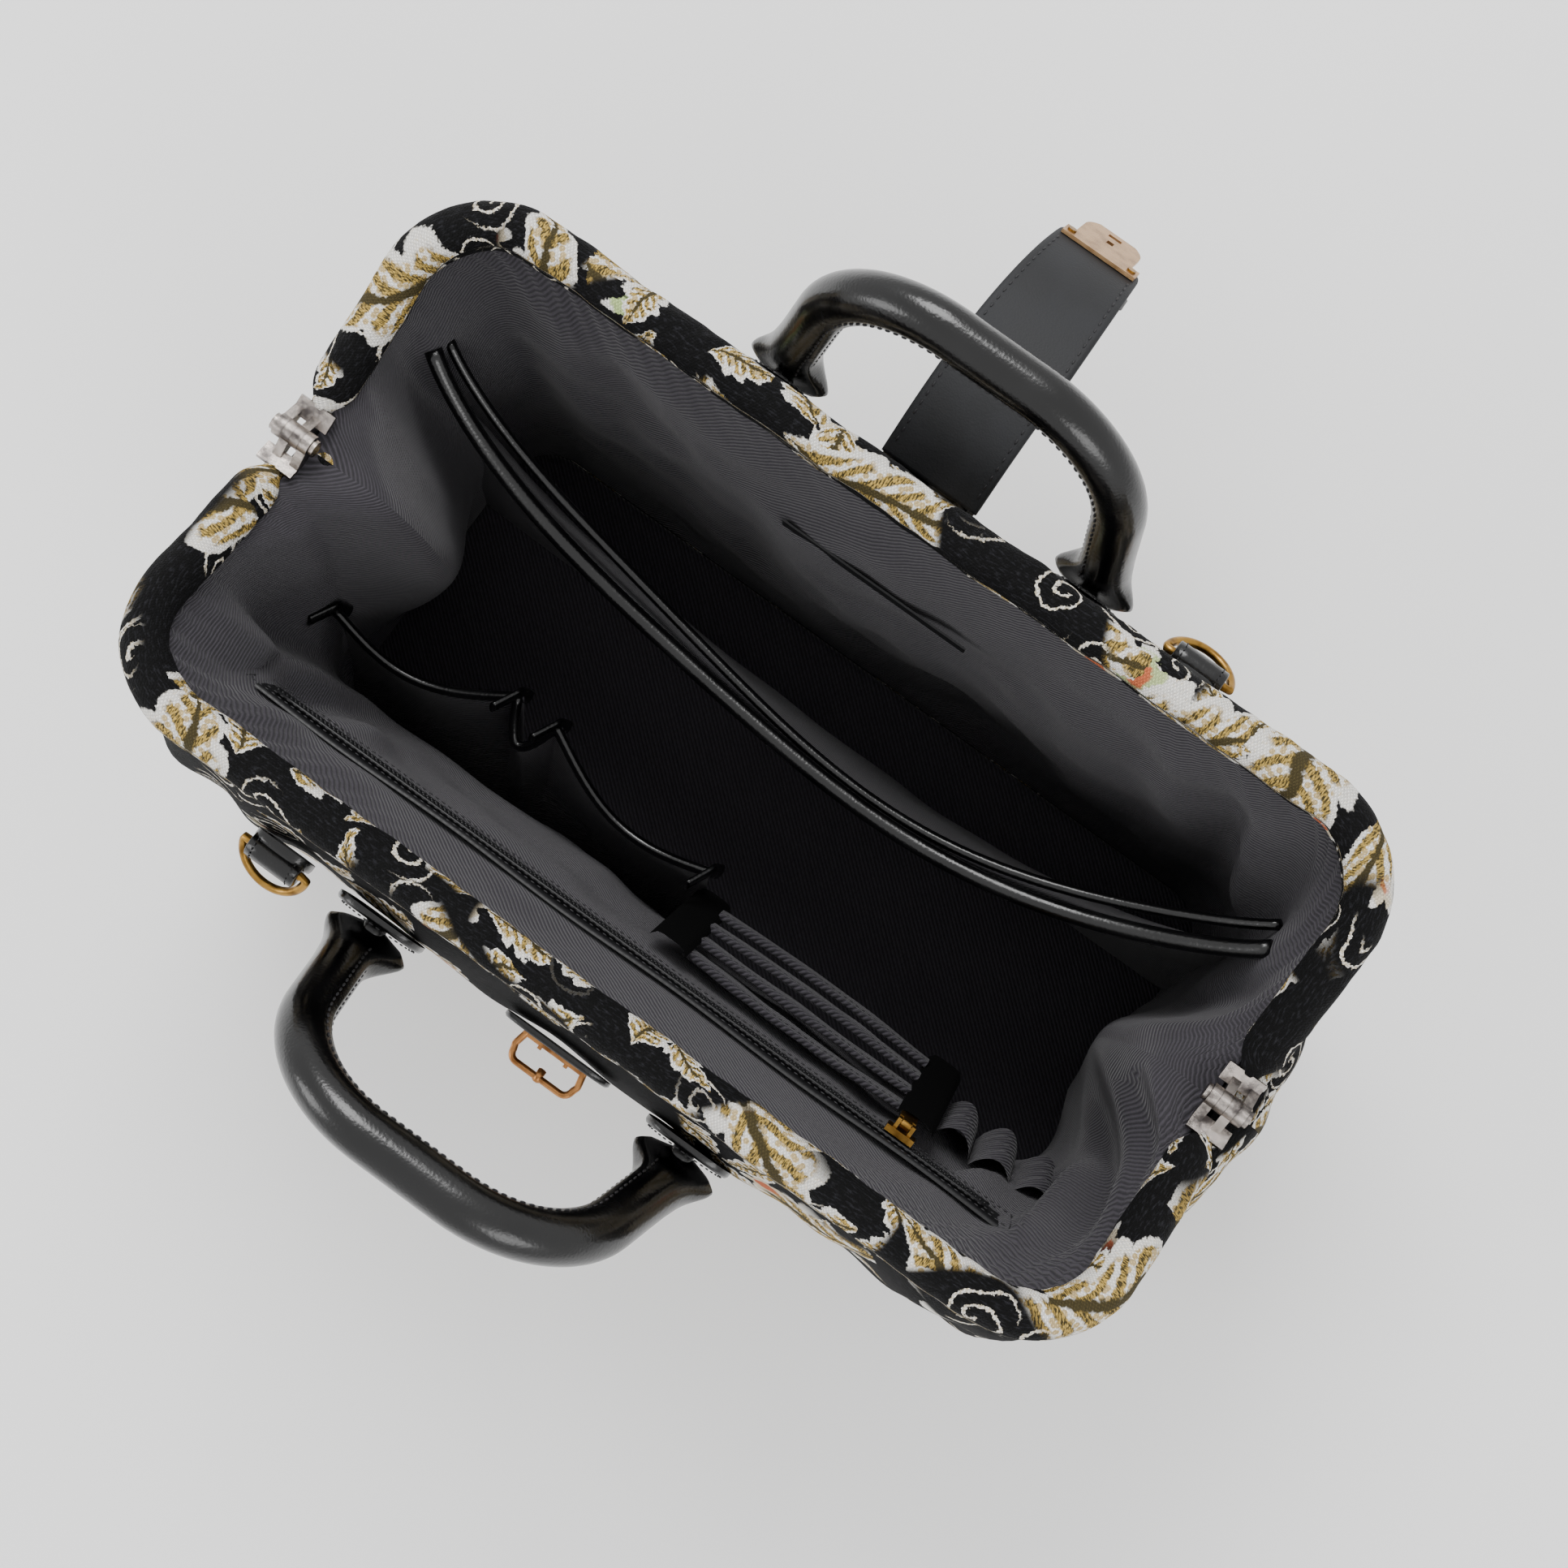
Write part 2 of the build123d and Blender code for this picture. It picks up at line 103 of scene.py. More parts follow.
# ---- node helpers
class Nodes:
    """A short way to build one material."""

    def __init__(self, name):
        self.material = bpy.data.materials.new(name)
        self.material.use_nodes = True
        self.tree = self.material.node_tree
        self.shader = self.tree.nodes["Principled BSDF"]

    def add(self, kind, **settings):
        made = self.tree.nodes.new(kind)
        for key, value in settings.items():
            setattr(made, key, value)
        return made

    def put(self, value, socket):
        if isinstance(value, bpy.types.NodeSocket):
            self.tree.links.new(value, socket)
        else:
            socket.default_value = value

    def math(self, operation, a, b=0.0, clamp=False):
        made = self.add("ShaderNodeMath", operation=operation, use_clamp=clamp)
        self.put(a, made.inputs[0])
        self.put(b, made.inputs[1])
        return made.outputs[0]

    def times(self, a, b):
        return self.math("MULTIPLY", a, b)

    def plus(self, a, b, clamp=False):
        return self.math("ADD", a, b, clamp)

    def minus(self, a, b):
        return self.math("SUBTRACT", a, b)

    def vector(self, operation, a, b):
        made = self.add("ShaderNodeVectorMath", operation=operation)
        self.put(a, made.inputs[0])
        self.put(b, made.inputs[1])
        return made.outputs[0]

    def mix(self, share, a, b):
        made = self.add("ShaderNodeMix", data_type="RGBA")
        self.put(share, made.inputs[0])
        self.put(a, made.inputs[6])
        self.put(b, made.inputs[7])
        return made.outputs[2]

    def step(self, value, low, high):
        """0 below low, 1 above high, smooth between."""
        made = self.add("ShaderNodeMapRange", interpolation_type="SMOOTHSTEP")
        self.put(value, made.inputs[0])
        made.inputs[1].default_value = low
        made.inputs[2].default_value = high
        return made.outputs[0]

    def texture(self, kind, where, scale, **settings):
        made = self.add(kind, **settings)
        self.put(where, made.inputs["Vector"])
        made.inputs["Scale"].default_value = scale
        return made

    def axes(self, value):
        made = self.add("ShaderNodeSeparateXYZ")
        self.put(value, made.inputs[0])
        return made.outputs

    def noise(self, where, scale, detail=2.0):
        made = self.texture("ShaderNodeTexNoise", where, scale)
        made.inputs["Detail"].default_value = detail
        return made.outputs[0]

    def uv(self):
        return self.add("ShaderNodeUVMap", uv_map="cloth").outputs[0]

    def place(self):
        return self.add("ShaderNodeTexCoord").outputs["Object"]

    def bump(self, height, distance, strength=1.0):
        made = self.add("ShaderNodeBump")
        made.inputs["Strength"].default_value = strength
        made.inputs["Distance"].default_value = distance
        self.put(height, made.inputs["Height"])
        self.put(made.outputs[0], self.shader.inputs["Normal"])

    def set(self, **values):
        for key, value in values.items():
            self.put(value, self.shader.inputs[key.replace("_", " ")])
        return self


def rgb(red, green, blue):
    """A linear colour from 0-255 display values."""
    return tuple([(v / 255) ** 2.2 for v in (red, green, blue)] + [1.0])


# ---- materials
def cell_space(n, uv, cell, shift, loose=0.7):
    """Coordinates about the nearest of a scatter of points, turned at random: x, y and two random numbers."""
    moved = n.vector("ADD", n.vector("MULTIPLY", uv, (1 / cell, 1 / cell, 0)), (*shift, 0))
    cells = n.texture("ShaderNodeTexVoronoi", moved, 1.0, voronoi_dimensions="2D")
    cells.inputs["Randomness"].default_value = loose
    local = n.vector("SUBTRACT", moved, cells.outputs["Position"])
    luck = n.add("ShaderNodeSeparateColor")
    n.put(cells.outputs["Color"], luck.inputs[0])
    turn = n.add("ShaderNodeVectorRotate", rotation_type="Z_AXIS")
    n.put(local, turn.inputs["Vector"])
    n.put(n.times(luck.outputs[0], 2 * pi), turn.inputs["Angle"])
    x, y, _ = n.axes(turn.outputs[0])
    return x, y, luck.outputs[1], luck.outputs[2]


def polar(n, x, y):
    """The angle and the distance of a point from the middle of its cell."""
    angle = n.math("ARCTAN2", y, x)
    return angle, n.math("SQRT", n.plus(n.times(x, x), n.times(y, y)))


def leaf(n, uv, cell, shift, half_length, half_width, lobes):
    """A curved, lobed leaf in each cell: how much of it covers a point, how far across it and its veins."""
    x, y, chance, _ = cell_space(n, uv, cell, shift)
    curve = n.times(n.minus(chance, 0.5), 2.6)
    y = n.plus(y, n.times(curve, n.times(x, x)))
    side = n.math("ABSOLUTE", y)
    along = n.math("DIVIDE", n.plus(x, half_length), 2 * half_length, clamp=True)
    slant = n.minus(along, n.times(side, 0.9))
    wave = n.math("ABSOLUTE", n.math("SINE", n.times(slant, lobes * pi)))
    body = n.math("SINE", n.times(n.math("POWER", along, 0.8), pi))
    width = n.times(body, n.plus(0.72 * half_width, n.times(wave, 0.32 * half_width)))
    cover = n.step(n.minus(width, side), 0.0, 0.012)
    across = n.math("DIVIDE", side, n.math("MAXIMUM", width, 0.01), clamp=True)
    veins = n.math("SINE", n.times(slant, 4 * lobes * pi))
    return cover, across, n.step(veins, -0.3, 0.5)


def scroll(n, uv, cell, shift, turns, width):
    """A thin curl in each cell."""
    x, y, chance, _ = cell_space(n, uv, cell, shift)
    angle, radius = polar(n, x, y)
    phase = n.plus(n.times(angle, 0.5), n.times(radius, turns * pi))
    line = n.minus(width, n.math("ABSOLUTE", n.math("SINE", phase)))
    inside = n.minus(0.4, radius)
    some = n.step(chance, 0.25, 0.3)
    return n.times(some, n.times(n.step(line, 0.0, 0.08), n.step(inside, 0.0, 0.03)))


def flower(n, uv, cell, shift, petals, size):
    """A small round flower in some cells: its cover, and its distance from the middle."""
    x, y, chance, other = cell_space(n, uv, cell, shift, 0.9)
    angle, radius = polar(n, x, y)
    petal = n.math("SINE", n.times(angle, petals))
    edge = n.plus(size * 0.75, n.times(petal, size * 0.25))
    cover = n.step(n.minus(edge, radius), 0.0, 0.02)
    return n.times(cover, n.step(chance, 0.45, 0.5)), n.math("DIVIDE", radius, size), other


def tapestry_material():
    """Black ribbed chenille with a raised woven pattern of leaves, curls and small flowers, all made up."""
    n = Nodes("tapestry")
    uv = n.uv()

    def wander(scale, reach):
        drift = n.texture("ShaderNodeTexNoise", uv, scale)
        centred = n.vector("SUBTRACT", drift.outputs["Color"], (0.5, 0.5, 0.5))
        return n.vector("MULTIPLY", centred, (reach, reach, 0))
    warped = n.vector("ADD", uv, n.vector("ADD", wander(26.0, 0.022), wander(620.0, 0.003)))
    along, up, _ = n.axes(uv)
    ribs = n.math("SINE", n.times(up, 2 * pi / RIB_PITCH))
    threads = n.math("SINE", n.times(along, 2 * pi / THREAD_PITCH))
    pile = n.noise(n.vector("MULTIPLY", uv, (0.3, 1.0, 1.0)), 1100.0, 2.0)
    strands = n.noise(n.vector("MULTIPLY", uv, (1.0, 0.25, 1.0)), 1700.0, 2.0)

    black = n.mix(n.step(pile, 0.48, 0.8), rgb(7, 7, 8), rgb(40, 40, 44))
    weave = n.step(n.times(ribs, threads), -0.3, 0.5)

    def some(seed, low):
        where = n.vector("ADD", uv, (seed, seed, 0))
        return n.step(n.noise(where, 10.0, 1.0), low, low + 0.03)
    curls = n.times(scroll(n, warped, 0.03, (3.3, 1.7), 5.0, 0.36), some(0.3, 0.47))
    small, small_across, small_veins = leaf(n, warped, 0.03, (7.1, 2.9), 0.52, 0.3, 4)
    small = n.times(small, some(0.9, 0.49))
    large, large_across, large_veins = leaf(n, warped, 0.07, (1.4, 5.2), 0.62, 0.3, 4)
    large = n.times(large, some(1.7, 0.47))
    bloom, bloom_radius, bloom_luck = flower(n, warped, 0.046, (4.6, 8.3), 5, 0.26)
    bloom = n.times(bloom, some(2.6, 0.52))

    white = rgb(250, 247, 240)
    cream = rgb(226, 212, 184)
    gold = rgb(196, 164, 88)
    olive = rgb(74, 66, 42)
    green = rgb(186, 208, 140)
    orange = rgb(204, 110, 74)
    dots = n.texture("ShaderNodeTexVoronoi", uv, 330.0, voronoi_dimensions="2D")
    spots = n.step(dots.outputs["Distance"], 0.42, 0.34)

    def leaf_colour(across, veins):
        shaded = n.mix(n.step(strands, 0.4, 0.58), olive, gold)
        lit = n.mix(n.times(spots, 0.8), white, gold)
        colour = n.mix(veins, shaded, lit)
        colour = n.mix(n.step(across, 0.16, 0.08), colour, olive)
        return n.mix(n.step(across, 0.66, 0.78), colour, n.mix(n.step(strands, 0.55, 0.75), white, cream))
    petals = n.mix(n.step(bloom_luck, 0.4, 0.6), cream, green)
    bloom_colour = n.mix(n.step(bloom_radius, 0.3, 0.4), orange, petals)
    bloom_colour = n.mix(n.step(bloom_radius, 0.66, 0.78), bloom_colour, white)

    colour = n.mix(curls, black, n.mix(n.step(strands, 0.4, 0.6), cream, white))
    colour = n.mix(bloom, colour, bloom_colour)
    colour = n.mix(small, colour, leaf_colour(small_across, small_veins))
    colour = n.mix(large, colour, leaf_colour(large_across, large_veins))
    motif = n.math("MAXIMUM", n.math("MAXIMUM", large, small), n.math("MAXIMUM", curls, bloom))
    shade = n.plus(0.48, n.plus(n.times(weave, 0.3), n.times(strands, 0.4)))
    grey = n.add("ShaderNodeCombineColor")
    for index in range(3):
        n.put(shade, grey.inputs[index])
    woven = n.add("ShaderNodeMix", data_type="RGBA", blend_type="MULTIPLY")
    n.put(motif, woven.inputs[0])
    n.put(colour, woven.inputs[6])
    n.put(grey.outputs[0], woven.inputs[7])
    height = n.plus(n.times(motif, 0.8), n.times(weave, 0.35))
    height = n.plus(height, n.times(pile, 1.1))
    height = n.plus(height, n.times(strands, 0.5))
    n.set(Base_Color=woven.outputs[2], Roughness=0.88, Specular_IOR_Level=0.2)
    n.bump(height, 0.0009, 1.0)
    return n.material


def twill_material(name, colour, light):
    """Cotton twill with diagonal ribs."""
    n = Nodes(name)
    uv = n.uv()
    along, up, _ = n.axes(uv)
    diagonal = n.plus(along, n.times(up, 1.2))
    ribs = n.math("SINE", n.times(diagonal, 2 * pi / TWILL_PITCH))
    slub = n.noise(uv, 700.0, 2.0)
    shade = n.plus(n.times(n.step(ribs, -0.6, 0.6), 0.6), n.times(slub, 0.5), clamp=True)
    cloud = n.noise(uv, 14.0, 2.0)
    base = n.mix(n.times(cloud, 0.35), n.mix(shade, colour, light), colour)
    n.set(Base_Color=base, Roughness=0.82, Specular_IOR_Level=0.3)
    n.set(Sheen_Weight=0.12, Sheen_Roughness=0.45)
    n.bump(n.plus(ribs, n.times(slub, 0.6)), 0.00026, 1.0)
    return n.material


def leather_material(name, colour, light, rough, coat, grain):
    """Leather with a fine pebbled grain, lighter and rougher in patches."""
    n = Nodes(name)
    where = n.place()
    pebble = n.texture("ShaderNodeTexVoronoi", where, grain, feature="SMOOTH_F1")
    cloud = n.noise(where, 45.0, 3.0)
    fine = n.noise(where, 900.0, 3.0)
    base = n.mix(n.step(cloud, 0.35, 0.75), colour, light)
    roughness = n.plus(rough, n.times(n.minus(cloud, 0.5), 0.22))
    n.set(Base_Color=base, Roughness=roughness, Coat_Weight=coat, Coat_Roughness=0.12)
    height = n.plus(n.times(pebble.outputs[0], 0.7), n.times(fine, 0.5))
    n.bump(height, 0.00022, 0.45)
    return n.material


def metal_material(name, colour, dark, rough, brush):
    """Plated metal, a little darker and duller in patches, with fine brush marks."""
    n = Nodes(name)
    where = n.place()
    cloud = n.noise(where, 160.0, 3.0)
    lines = n.noise(n.vector("MULTIPLY", where, brush), 1200.0, 2.0)
    base = n.mix(n.step(cloud, 0.35, 0.75), colour, dark)
    roughness = n.plus(rough, n.times(lines, 0.14))
    n.set(Base_Color=base, Metallic=1.0, Roughness=roughness)
    n.bump(lines, 0.00008, 0.5)
    return n.material


def velvet_material():
    n = Nodes("velvet")
    where = n.place()
    pile = n.noise(where, 1800.0, 2.0)
    n.set(Base_Color=n.mix(pile, rgb(2, 2, 2), rgb(11, 11, 12)), Roughness=1.0, Specular_IOR_Level=0.1)
    n.bump(pile, 0.0004, 0.8)
    return n.material


def plastic_material(name, colour, light, rough):
    n = Nodes(name)
    speck = n.noise(n.place(), 800.0, 3.0)
    n.set(Base_Color=n.mix(speck, colour, light), Roughness=rough)
    n.bump(speck, 0.0001, 0.4)
    return n.material


def thread_material():
    n = Nodes("thread")
    where = n.place()
    twist = n.noise(where, 2500.0, 1.0)
    n.set(Base_Color=n.mix(twist, rgb(14, 14, 15), rgb(48, 47, 50)), Roughness=0.6)
    n.bump(twist, 0.0001, 0.6)
    return n.material


METALS = {
    "nickel": ((172, 164, 158), (74, 70, 69), 0.1, (1, 30, 30)),
    "antique_brass": ((166, 128, 66), (98, 70, 34), 0.24, (1, 1, 12)),
    "bronze_plate": ((188, 152, 112), (150, 116, 80), 0.3, (1, 25, 25)),
    "lock_brass": ((186, 132, 84), (120, 80, 48), 0.24, (1, 1, 12)),
    "steel_rail": ((150, 150, 152), (110, 110, 114), 0.35, (1, 20, 20)),
}
PLASTICS = {
    "zip_black": ((12, 12, 13), (34, 34, 36), 0.45),
    "board": ((40, 38, 36), (60, 58, 54), 0.8),
    "black_post": ((16, 14, 14), (40, 34, 34), 0.3),
    "cord_core": ((180, 172, 158), (205, 198, 184), 0.9),
}
MATERIALS = {
    "tapestry": tapestry_material(),
    "lining": twill_material("lining", rgb(35, 34, 37), rgb(70, 67, 73)),
    "leather": leather_material("leather", rgb(5, 5, 6), rgb(13, 13, 14), 0.25, 0.12, 900.0),
    "strap_leather": leather_material("strap_leather", rgb(20, 21, 24), rgb(31, 32, 35), 0.66, 0.0, 1400.0),
    "velvet": velvet_material(),
}
for slot, (colour, other, *rest) in METALS.items():
    MATERIALS[slot] = metal_material(slot, rgb(*colour), rgb(*other), *rest)
for slot, (colour, other, rough) in PLASTICS.items():
    MATERIALS[slot] = plastic_material(slot, rgb(*colour), rgb(*other), rough)
THREAD = thread_material()


def dress_frame():
    """Gives every carried-over CAD node its slot's material."""
    slots = {row["node"]: row["material_slot"] for row in frame["record"]["subparts"]}
    for name, part in frame["nodes"].items():
        part.data.materials.clear()
        part.data.materials.append(MATERIALS[slots[name]])


# ---- mesh helpers
def write_uv(mesh, uv):
    """Gives a mesh its cloth coordinates, one pair for each vertex."""
    layer = mesh.uv_layers.new(name="cloth")
    loops = np.zeros(len(mesh.loops), int)
    mesh.loops.foreach_get("vertex_index", loops)
    layer.data.foreach_set("uv", np.asarray(uv, float)[loops].ravel())


def finish_mesh(name, points, faces, slot, uv=None, material=None):
    """A smooth-shaded piece, in its slot's material unless another is named."""
    mesh = bpy.data.meshes.new(name)
    mesh.from_pydata([tuple(p) for p in points], [], faces)
    if uv is not None:
        write_uv(mesh, uv)
    mesh.update()
    mesh.polygons.foreach_set("use_smooth", [True] * len(mesh.polygons))
    made = bpy.data.objects.new(name, mesh)
    bpy.context.scene.collection.objects.link(made)
    mesh.materials.append(material or MATERIALS[slot])
    return made


def grid_faces(rows, columns, wrap=False, flip=False):
    """Quads of a grid whose points are stored row by row."""
    faces = []
    last = columns if wrap else columns - 1
    for i in range(rows - 1):
        for j in range(last):
            k = (j + 1) % columns
            quad = (i * columns + j, i * columns + k, (i + 1) * columns + k, (i + 1) * columns + j)
            faces.append(quad[::-1] if flip else quad)
    return faces


def frames_along(path, up):
    """Tangent, side and up at each point of a path; up is the rough direction to keep."""
    path = np.asarray(path, float)
    tangent = np.gradient(path, axis=0)
    tangent /= np.linalg.norm(tangent, axis=1)[:, None]
    side = np.cross(tangent, up)
    side /= np.linalg.norm(side, axis=1)[:, None]
    return tangent, side, np.cross(side, tangent)


def run_along(path):
    """How far along a path each of its points is."""
    return np.concatenate([[0], np.cumsum(np.linalg.norm(np.diff(path, axis=0), axis=1))])


def tube(path, section, up):
    """Points, faces and cloth coordinates of a tube. section(i) gives its (side, up) points at point i."""
    _, side, high = frames_along(path, up)
    run = run_along(path)
    points, uv = [], []
    count = len(path)
    for i in range(count):
        ring = section(i)
        round_length = 0.0
        for j, (a, b) in enumerate(ring):
            points.append(np.asarray(path[i]) + side[i] * a + high[i] * b)
            if j:
                round_length += dist(ring[j - 1], ring[j])
            uv.append((run[i], round_length))
    size = len(ring)
    faces = grid_faces(count, size, wrap=True)
    faces.append(tuple(range(size))[::-1])
    faces.append(tuple((count - 1) * size + j for j in range(size)))
    return points, faces, uv


def circle(radius, count, flat=1.0):
    turn = 2 * pi / count
    return [(radius * cos(j * turn), radius * flat * sin(j * turn)) for j in range(count)]


def rod(path, radius, sides, up=(0, 0, 1), flat=1.0):
    """A tube of round section; radius is one number, or one for each point."""
    sizes = np.broadcast_to(radius, len(path))
    return tube(path, lambda i: circle(sizes[i], sides, flat), up)


def joined(name, pieces, slot, material=None):
    """One object from several pieces; each starts with its points and its faces."""
    points, faces = [], []
    for some_points, some_faces, *_ in pieces:
        base = len(points)
        points += [tuple(p) for p in some_points]
        faces += [tuple(base + i for i in face) for face in some_faces]
    return finish_mesh(name, points, faces, slot, material=material)


def bead(centre, along, side, length, radius):
    """One stitch: a small lens of six sides."""
    centre, along, side = np.asarray(centre), np.asarray(along), np.asarray(side)
    up = np.cross(along, side)
    points = [centre - along * length / 2]
    for share, size in ((-0.3, 0.8), (0.0, 1.0), (0.3, 0.8)):
        for j in range(6):
            turn = j * pi / 3
            off = side * cos(turn) + up * sin(turn)
            points.append(centre + along * share * length + off * radius * size)
    points.append(centre + along * length / 2)
    faces = [(0, 1 + (j + 1) % 6, 1 + j) for j in range(6)]
    for ring in (1, 7):
        faces += [(ring + j, ring + (j + 1) % 6, ring + 6 + (j + 1) % 6, ring + 6 + j) for j in range(6)]
    faces += [(13 + j, 13 + (j + 1) % 6, 19) for j in range(6)]
    return points, faces


def resample(path, spacing):
    path = np.asarray(path, float)
    run = run_along(path)
    count = max(2, int(round(run[-1] / spacing)) + 1)
    at = np.linspace(0, run[-1], count)
    return np.stack([np.interp(at, run, path[:, k]) for k in range(3)], 1)


def stitches(name, paths, up, spacing=0.0035, length=0.0024, radius=0.0004):
    """A row of stitches along each path, as one piece."""
    pieces = []
    for path in paths:
        points = resample(path, spacing)
        tangent, side, _ = frames_along(points, up)
        for centre, along, across in zip(points, tangent, side):
            pieces.append(bead(centre, along, across, length, radius))
    return joined(name, pieces, "leather", THREAD)


def wobble(point, scale, seed):
    x, y, z = point
    return noise.noise(Vector((x * scale + seed, y * scale - seed, z * scale + 2 * seed)))


def mirrored(points, back):
    """Front-half points, or the same turned to the back half."""
    points = np.array(points, float)
    if back:
        points[:, 1] *= -1
    return points


def blend_half(piece):
    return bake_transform(piece)


# ---- shapes of the bag
def in_frame(x, reach, offset=ARM_OFFSET):
    """A point of the front frame half from its flat coordinates."""
    c, s = cos(OPEN_ANGLE), sin(OPEN_ANGLE)
    return np.array([x, -reach * c - offset * s, HINGE_Z + reach * s - offset * c])


def hoop_path(start, spacing):
    """The centre line of a front frame half, from the left arm to the right."""
    flat = [(-ARM_X, start), (-ARM_X, ARM_REACH - CORNER_R)]
    for step in range(1, 17):
        turn = step / 16 * pi / 2
        flat.append((-ARM_X + CORNER_R * (1 - cos(turn)), ARM_REACH - CORNER_R * (1 - sin(turn))))
    flat += [(-x, reach) for x, reach in reversed(flat)]
    return resample([in_frame(x, reach) for x, reach in flat], spacing)


def plan_line(half_x, half_y, radius, counts=(30, 22, 150)):
    """Half of a rounded rectangle in plan, from the left middle round the front to the right middle."""
    ends, corner, side = counts
    points = [(-half_x, -(half_y - radius) * k / ends) for k in range(ends)]
    for k in range(corner):
        turn = k / corner * pi / 2
        points.append((-half_x + radius * (1 - cos(turn)), -half_y + radius * (1 - sin(turn))))
    points += [(-half_x + radius + (2 * half_x - 2 * radius) * k / side, -half_y) for k in range(side // 2)]
    middle = [(0.0, -half_y)]
    return np.array(points + middle + [(-x, y) for x, y in reversed(points)])


def spline(rows, t):
    """A smooth value through evenly spaced rows, at t from 0 to 1."""
    last = len(rows) - 1
    at = t * last
    i = min(int(at), last - 1)
    f = at - i
    a, b, c, d = (rows[max(0, min(last, i + k))] for k in (-1, 0, 1, 2))
    square, cube = 2 * a - 5 * b + 4 * c - d, 3 * b - a - 3 * c + d
    return 0.5 * (2 * b + (c - a) * f + square * f ** 2 + cube * f ** 3)


def still_nowhere(point):
    return 1.0


def shell(levels, count, fold, ruffle, gather, seed, calm=still_nowhere):
    """Points of one front half of the cloth body. levels are (half_x, half_y, radius, z) from the top down;
    the top one, with z None, follows the frame half. fold(t, side) is the inward pleat's depth and half-width
    at each end, ruffle and gather are the heights of the loose waves and of the pleats, and calm(point)
    stills them."""
    rows = []
    for half_x, half_y, radius, z in levels:
        plan = plan_line(half_x, half_y, radius)
        if z is None:
            reach = (np.abs(plan[:, 1]) - ARM_OFFSET * sin(OPEN_ANGLE)) / cos(OPEN_ANGLE)
            high = HINGE_Z + reach * sin(OPEN_ANGLE) - ARM_OFFSET * cos(OPEN_ANGLE)
        else:
            high = np.full(len(plan), z)
        rows.append(np.column_stack([plan, high]))
    points = np.array([spline(rows, k / (count - 1)) for k in range(count)])
    for k in range(count):
        t = k / (count - 1)
        row = points[k]
        run = run_along(row)
        ends = np.clip((np.abs(row[:, 0]) - 0.1) / 0.06, 0, 1)
        for side in (-1, 1):
            depth, width = fold(t, side)
            pinch = depth * np.exp(-(row[:, 1] / width) ** 2)
            row[:, 0] -= np.where(np.sign(row[:, 0]) == side, side * pinch * ends, 0)
        for p, s, near_end in zip(row, run, ends):
            share = min(1.0, t * 6) * min(1.0, (1 - t) * 8)
            push = share * ruffle * (wobble(p, 13, seed) * 1.3 + wobble(p, 36, seed + 5) * 0.6)
            turned = 2.5 * wobble(p, 9, seed + 2)
            upper = sin(pi * min(1, t * 1.5)) ** 2
            push += near_end * gather * 3.0 * sin(s * GATHERS + turned) * upper
            pleat = sin(s * PLEATS + 4 * wobble(p, 16, seed))
            push += gather * (0.25 + 0.75 * near_end) * pleat * exp(-t * 11) * min(1, t * 30)
            away = np.array([p[0] * 0.35, p[1], 0.0])
            away /= np.linalg.norm(away) + 1e-9
            p += away * push * np.clip(abs(p[1]) / 0.02, 0, 1) * calm(p)
    return points


def cloth_uv(points, shift):
    """Cloth coordinates of a grid: round the body along each row, and down from the top."""
    across = np.linalg.norm(np.diff(points, axis=1), axis=2).mean(0)
    down = np.linalg.norm(np.diff(points, axis=0), axis=2).mean(1)
    u = np.concatenate([[0], np.cumsum(across)])
    v = np.concatenate([[0], np.cumsum(down)])
    grid = np.stack(np.meshgrid(u, v), 2).reshape(-1, 2)
    return grid + np.array(shift)


def shell_piece(name, points, back, slot, shift, inward):
    flat = mirrored(points.reshape(-1, 3), back)
    faces = grid_faces(*points.shape[:2], flip=(back != inward))
    return finish_mesh(name, flat, faces, slot, cloth_uv(points, shift))


OUTER_LEVELS = [
    (0.2095, 0.1065, 0.038, None), (0.215, 0.12, 0.044, 0.225), (0.216, 0.125, 0.046, 0.18),
    (0.212, 0.121, 0.044, 0.12), (0.205, 0.109, 0.04, 0.05), (0.1985, 0.0965, 0.034, 0.0035)]
INNER_FRONT = [
    (0.2065, 0.1035, 0.036, None), (0.198, 0.0865, 0.04, 0.226), (0.193, 0.0725, 0.036, 0.175),
    (0.191, 0.061, 0.03, 0.12), (0.189, 0.064, 0.026, 0.06), (0.188, 0.07, 0.022, 0.009)]
INNER_BACK = [
    (0.2065, 0.1035, 0.036, None), (0.198, 0.0935, 0.04, 0.226), (0.193, 0.089, 0.036, 0.175),
    (0.191, 0.088, 0.03, 0.12), (0.189, 0.0875, 0.026, 0.06), (0.188, 0.086, 0.022, 0.009)]


def outer_fold(t, side):
    """The left end is drawn in between the hinges and the floor, and the right end bellies out."""
    swell = sin(pi * min(1, t * 1.25)) ** 0.8
    return (0.034 * swell, 0.016 + 0.026 * t) if side < 0 else (-0.016 * swell, 0.05)


def inner_fold(t, side):
    swell = sin(pi * min(1, t * 1.15)) ** 0.7
    return (0.04 if side < 0 else 0.026) * swell, 0.015 + 0.03 * t


def calm_front(point):
    """The lining lies still under the zip and the pockets."""
    zip_band = exp(-((point[2] - 0.217) / 0.018) ** 2)
    return 1 - 0.9 * zip_band * (1 if abs(point[0]) < 0.178 else 0)


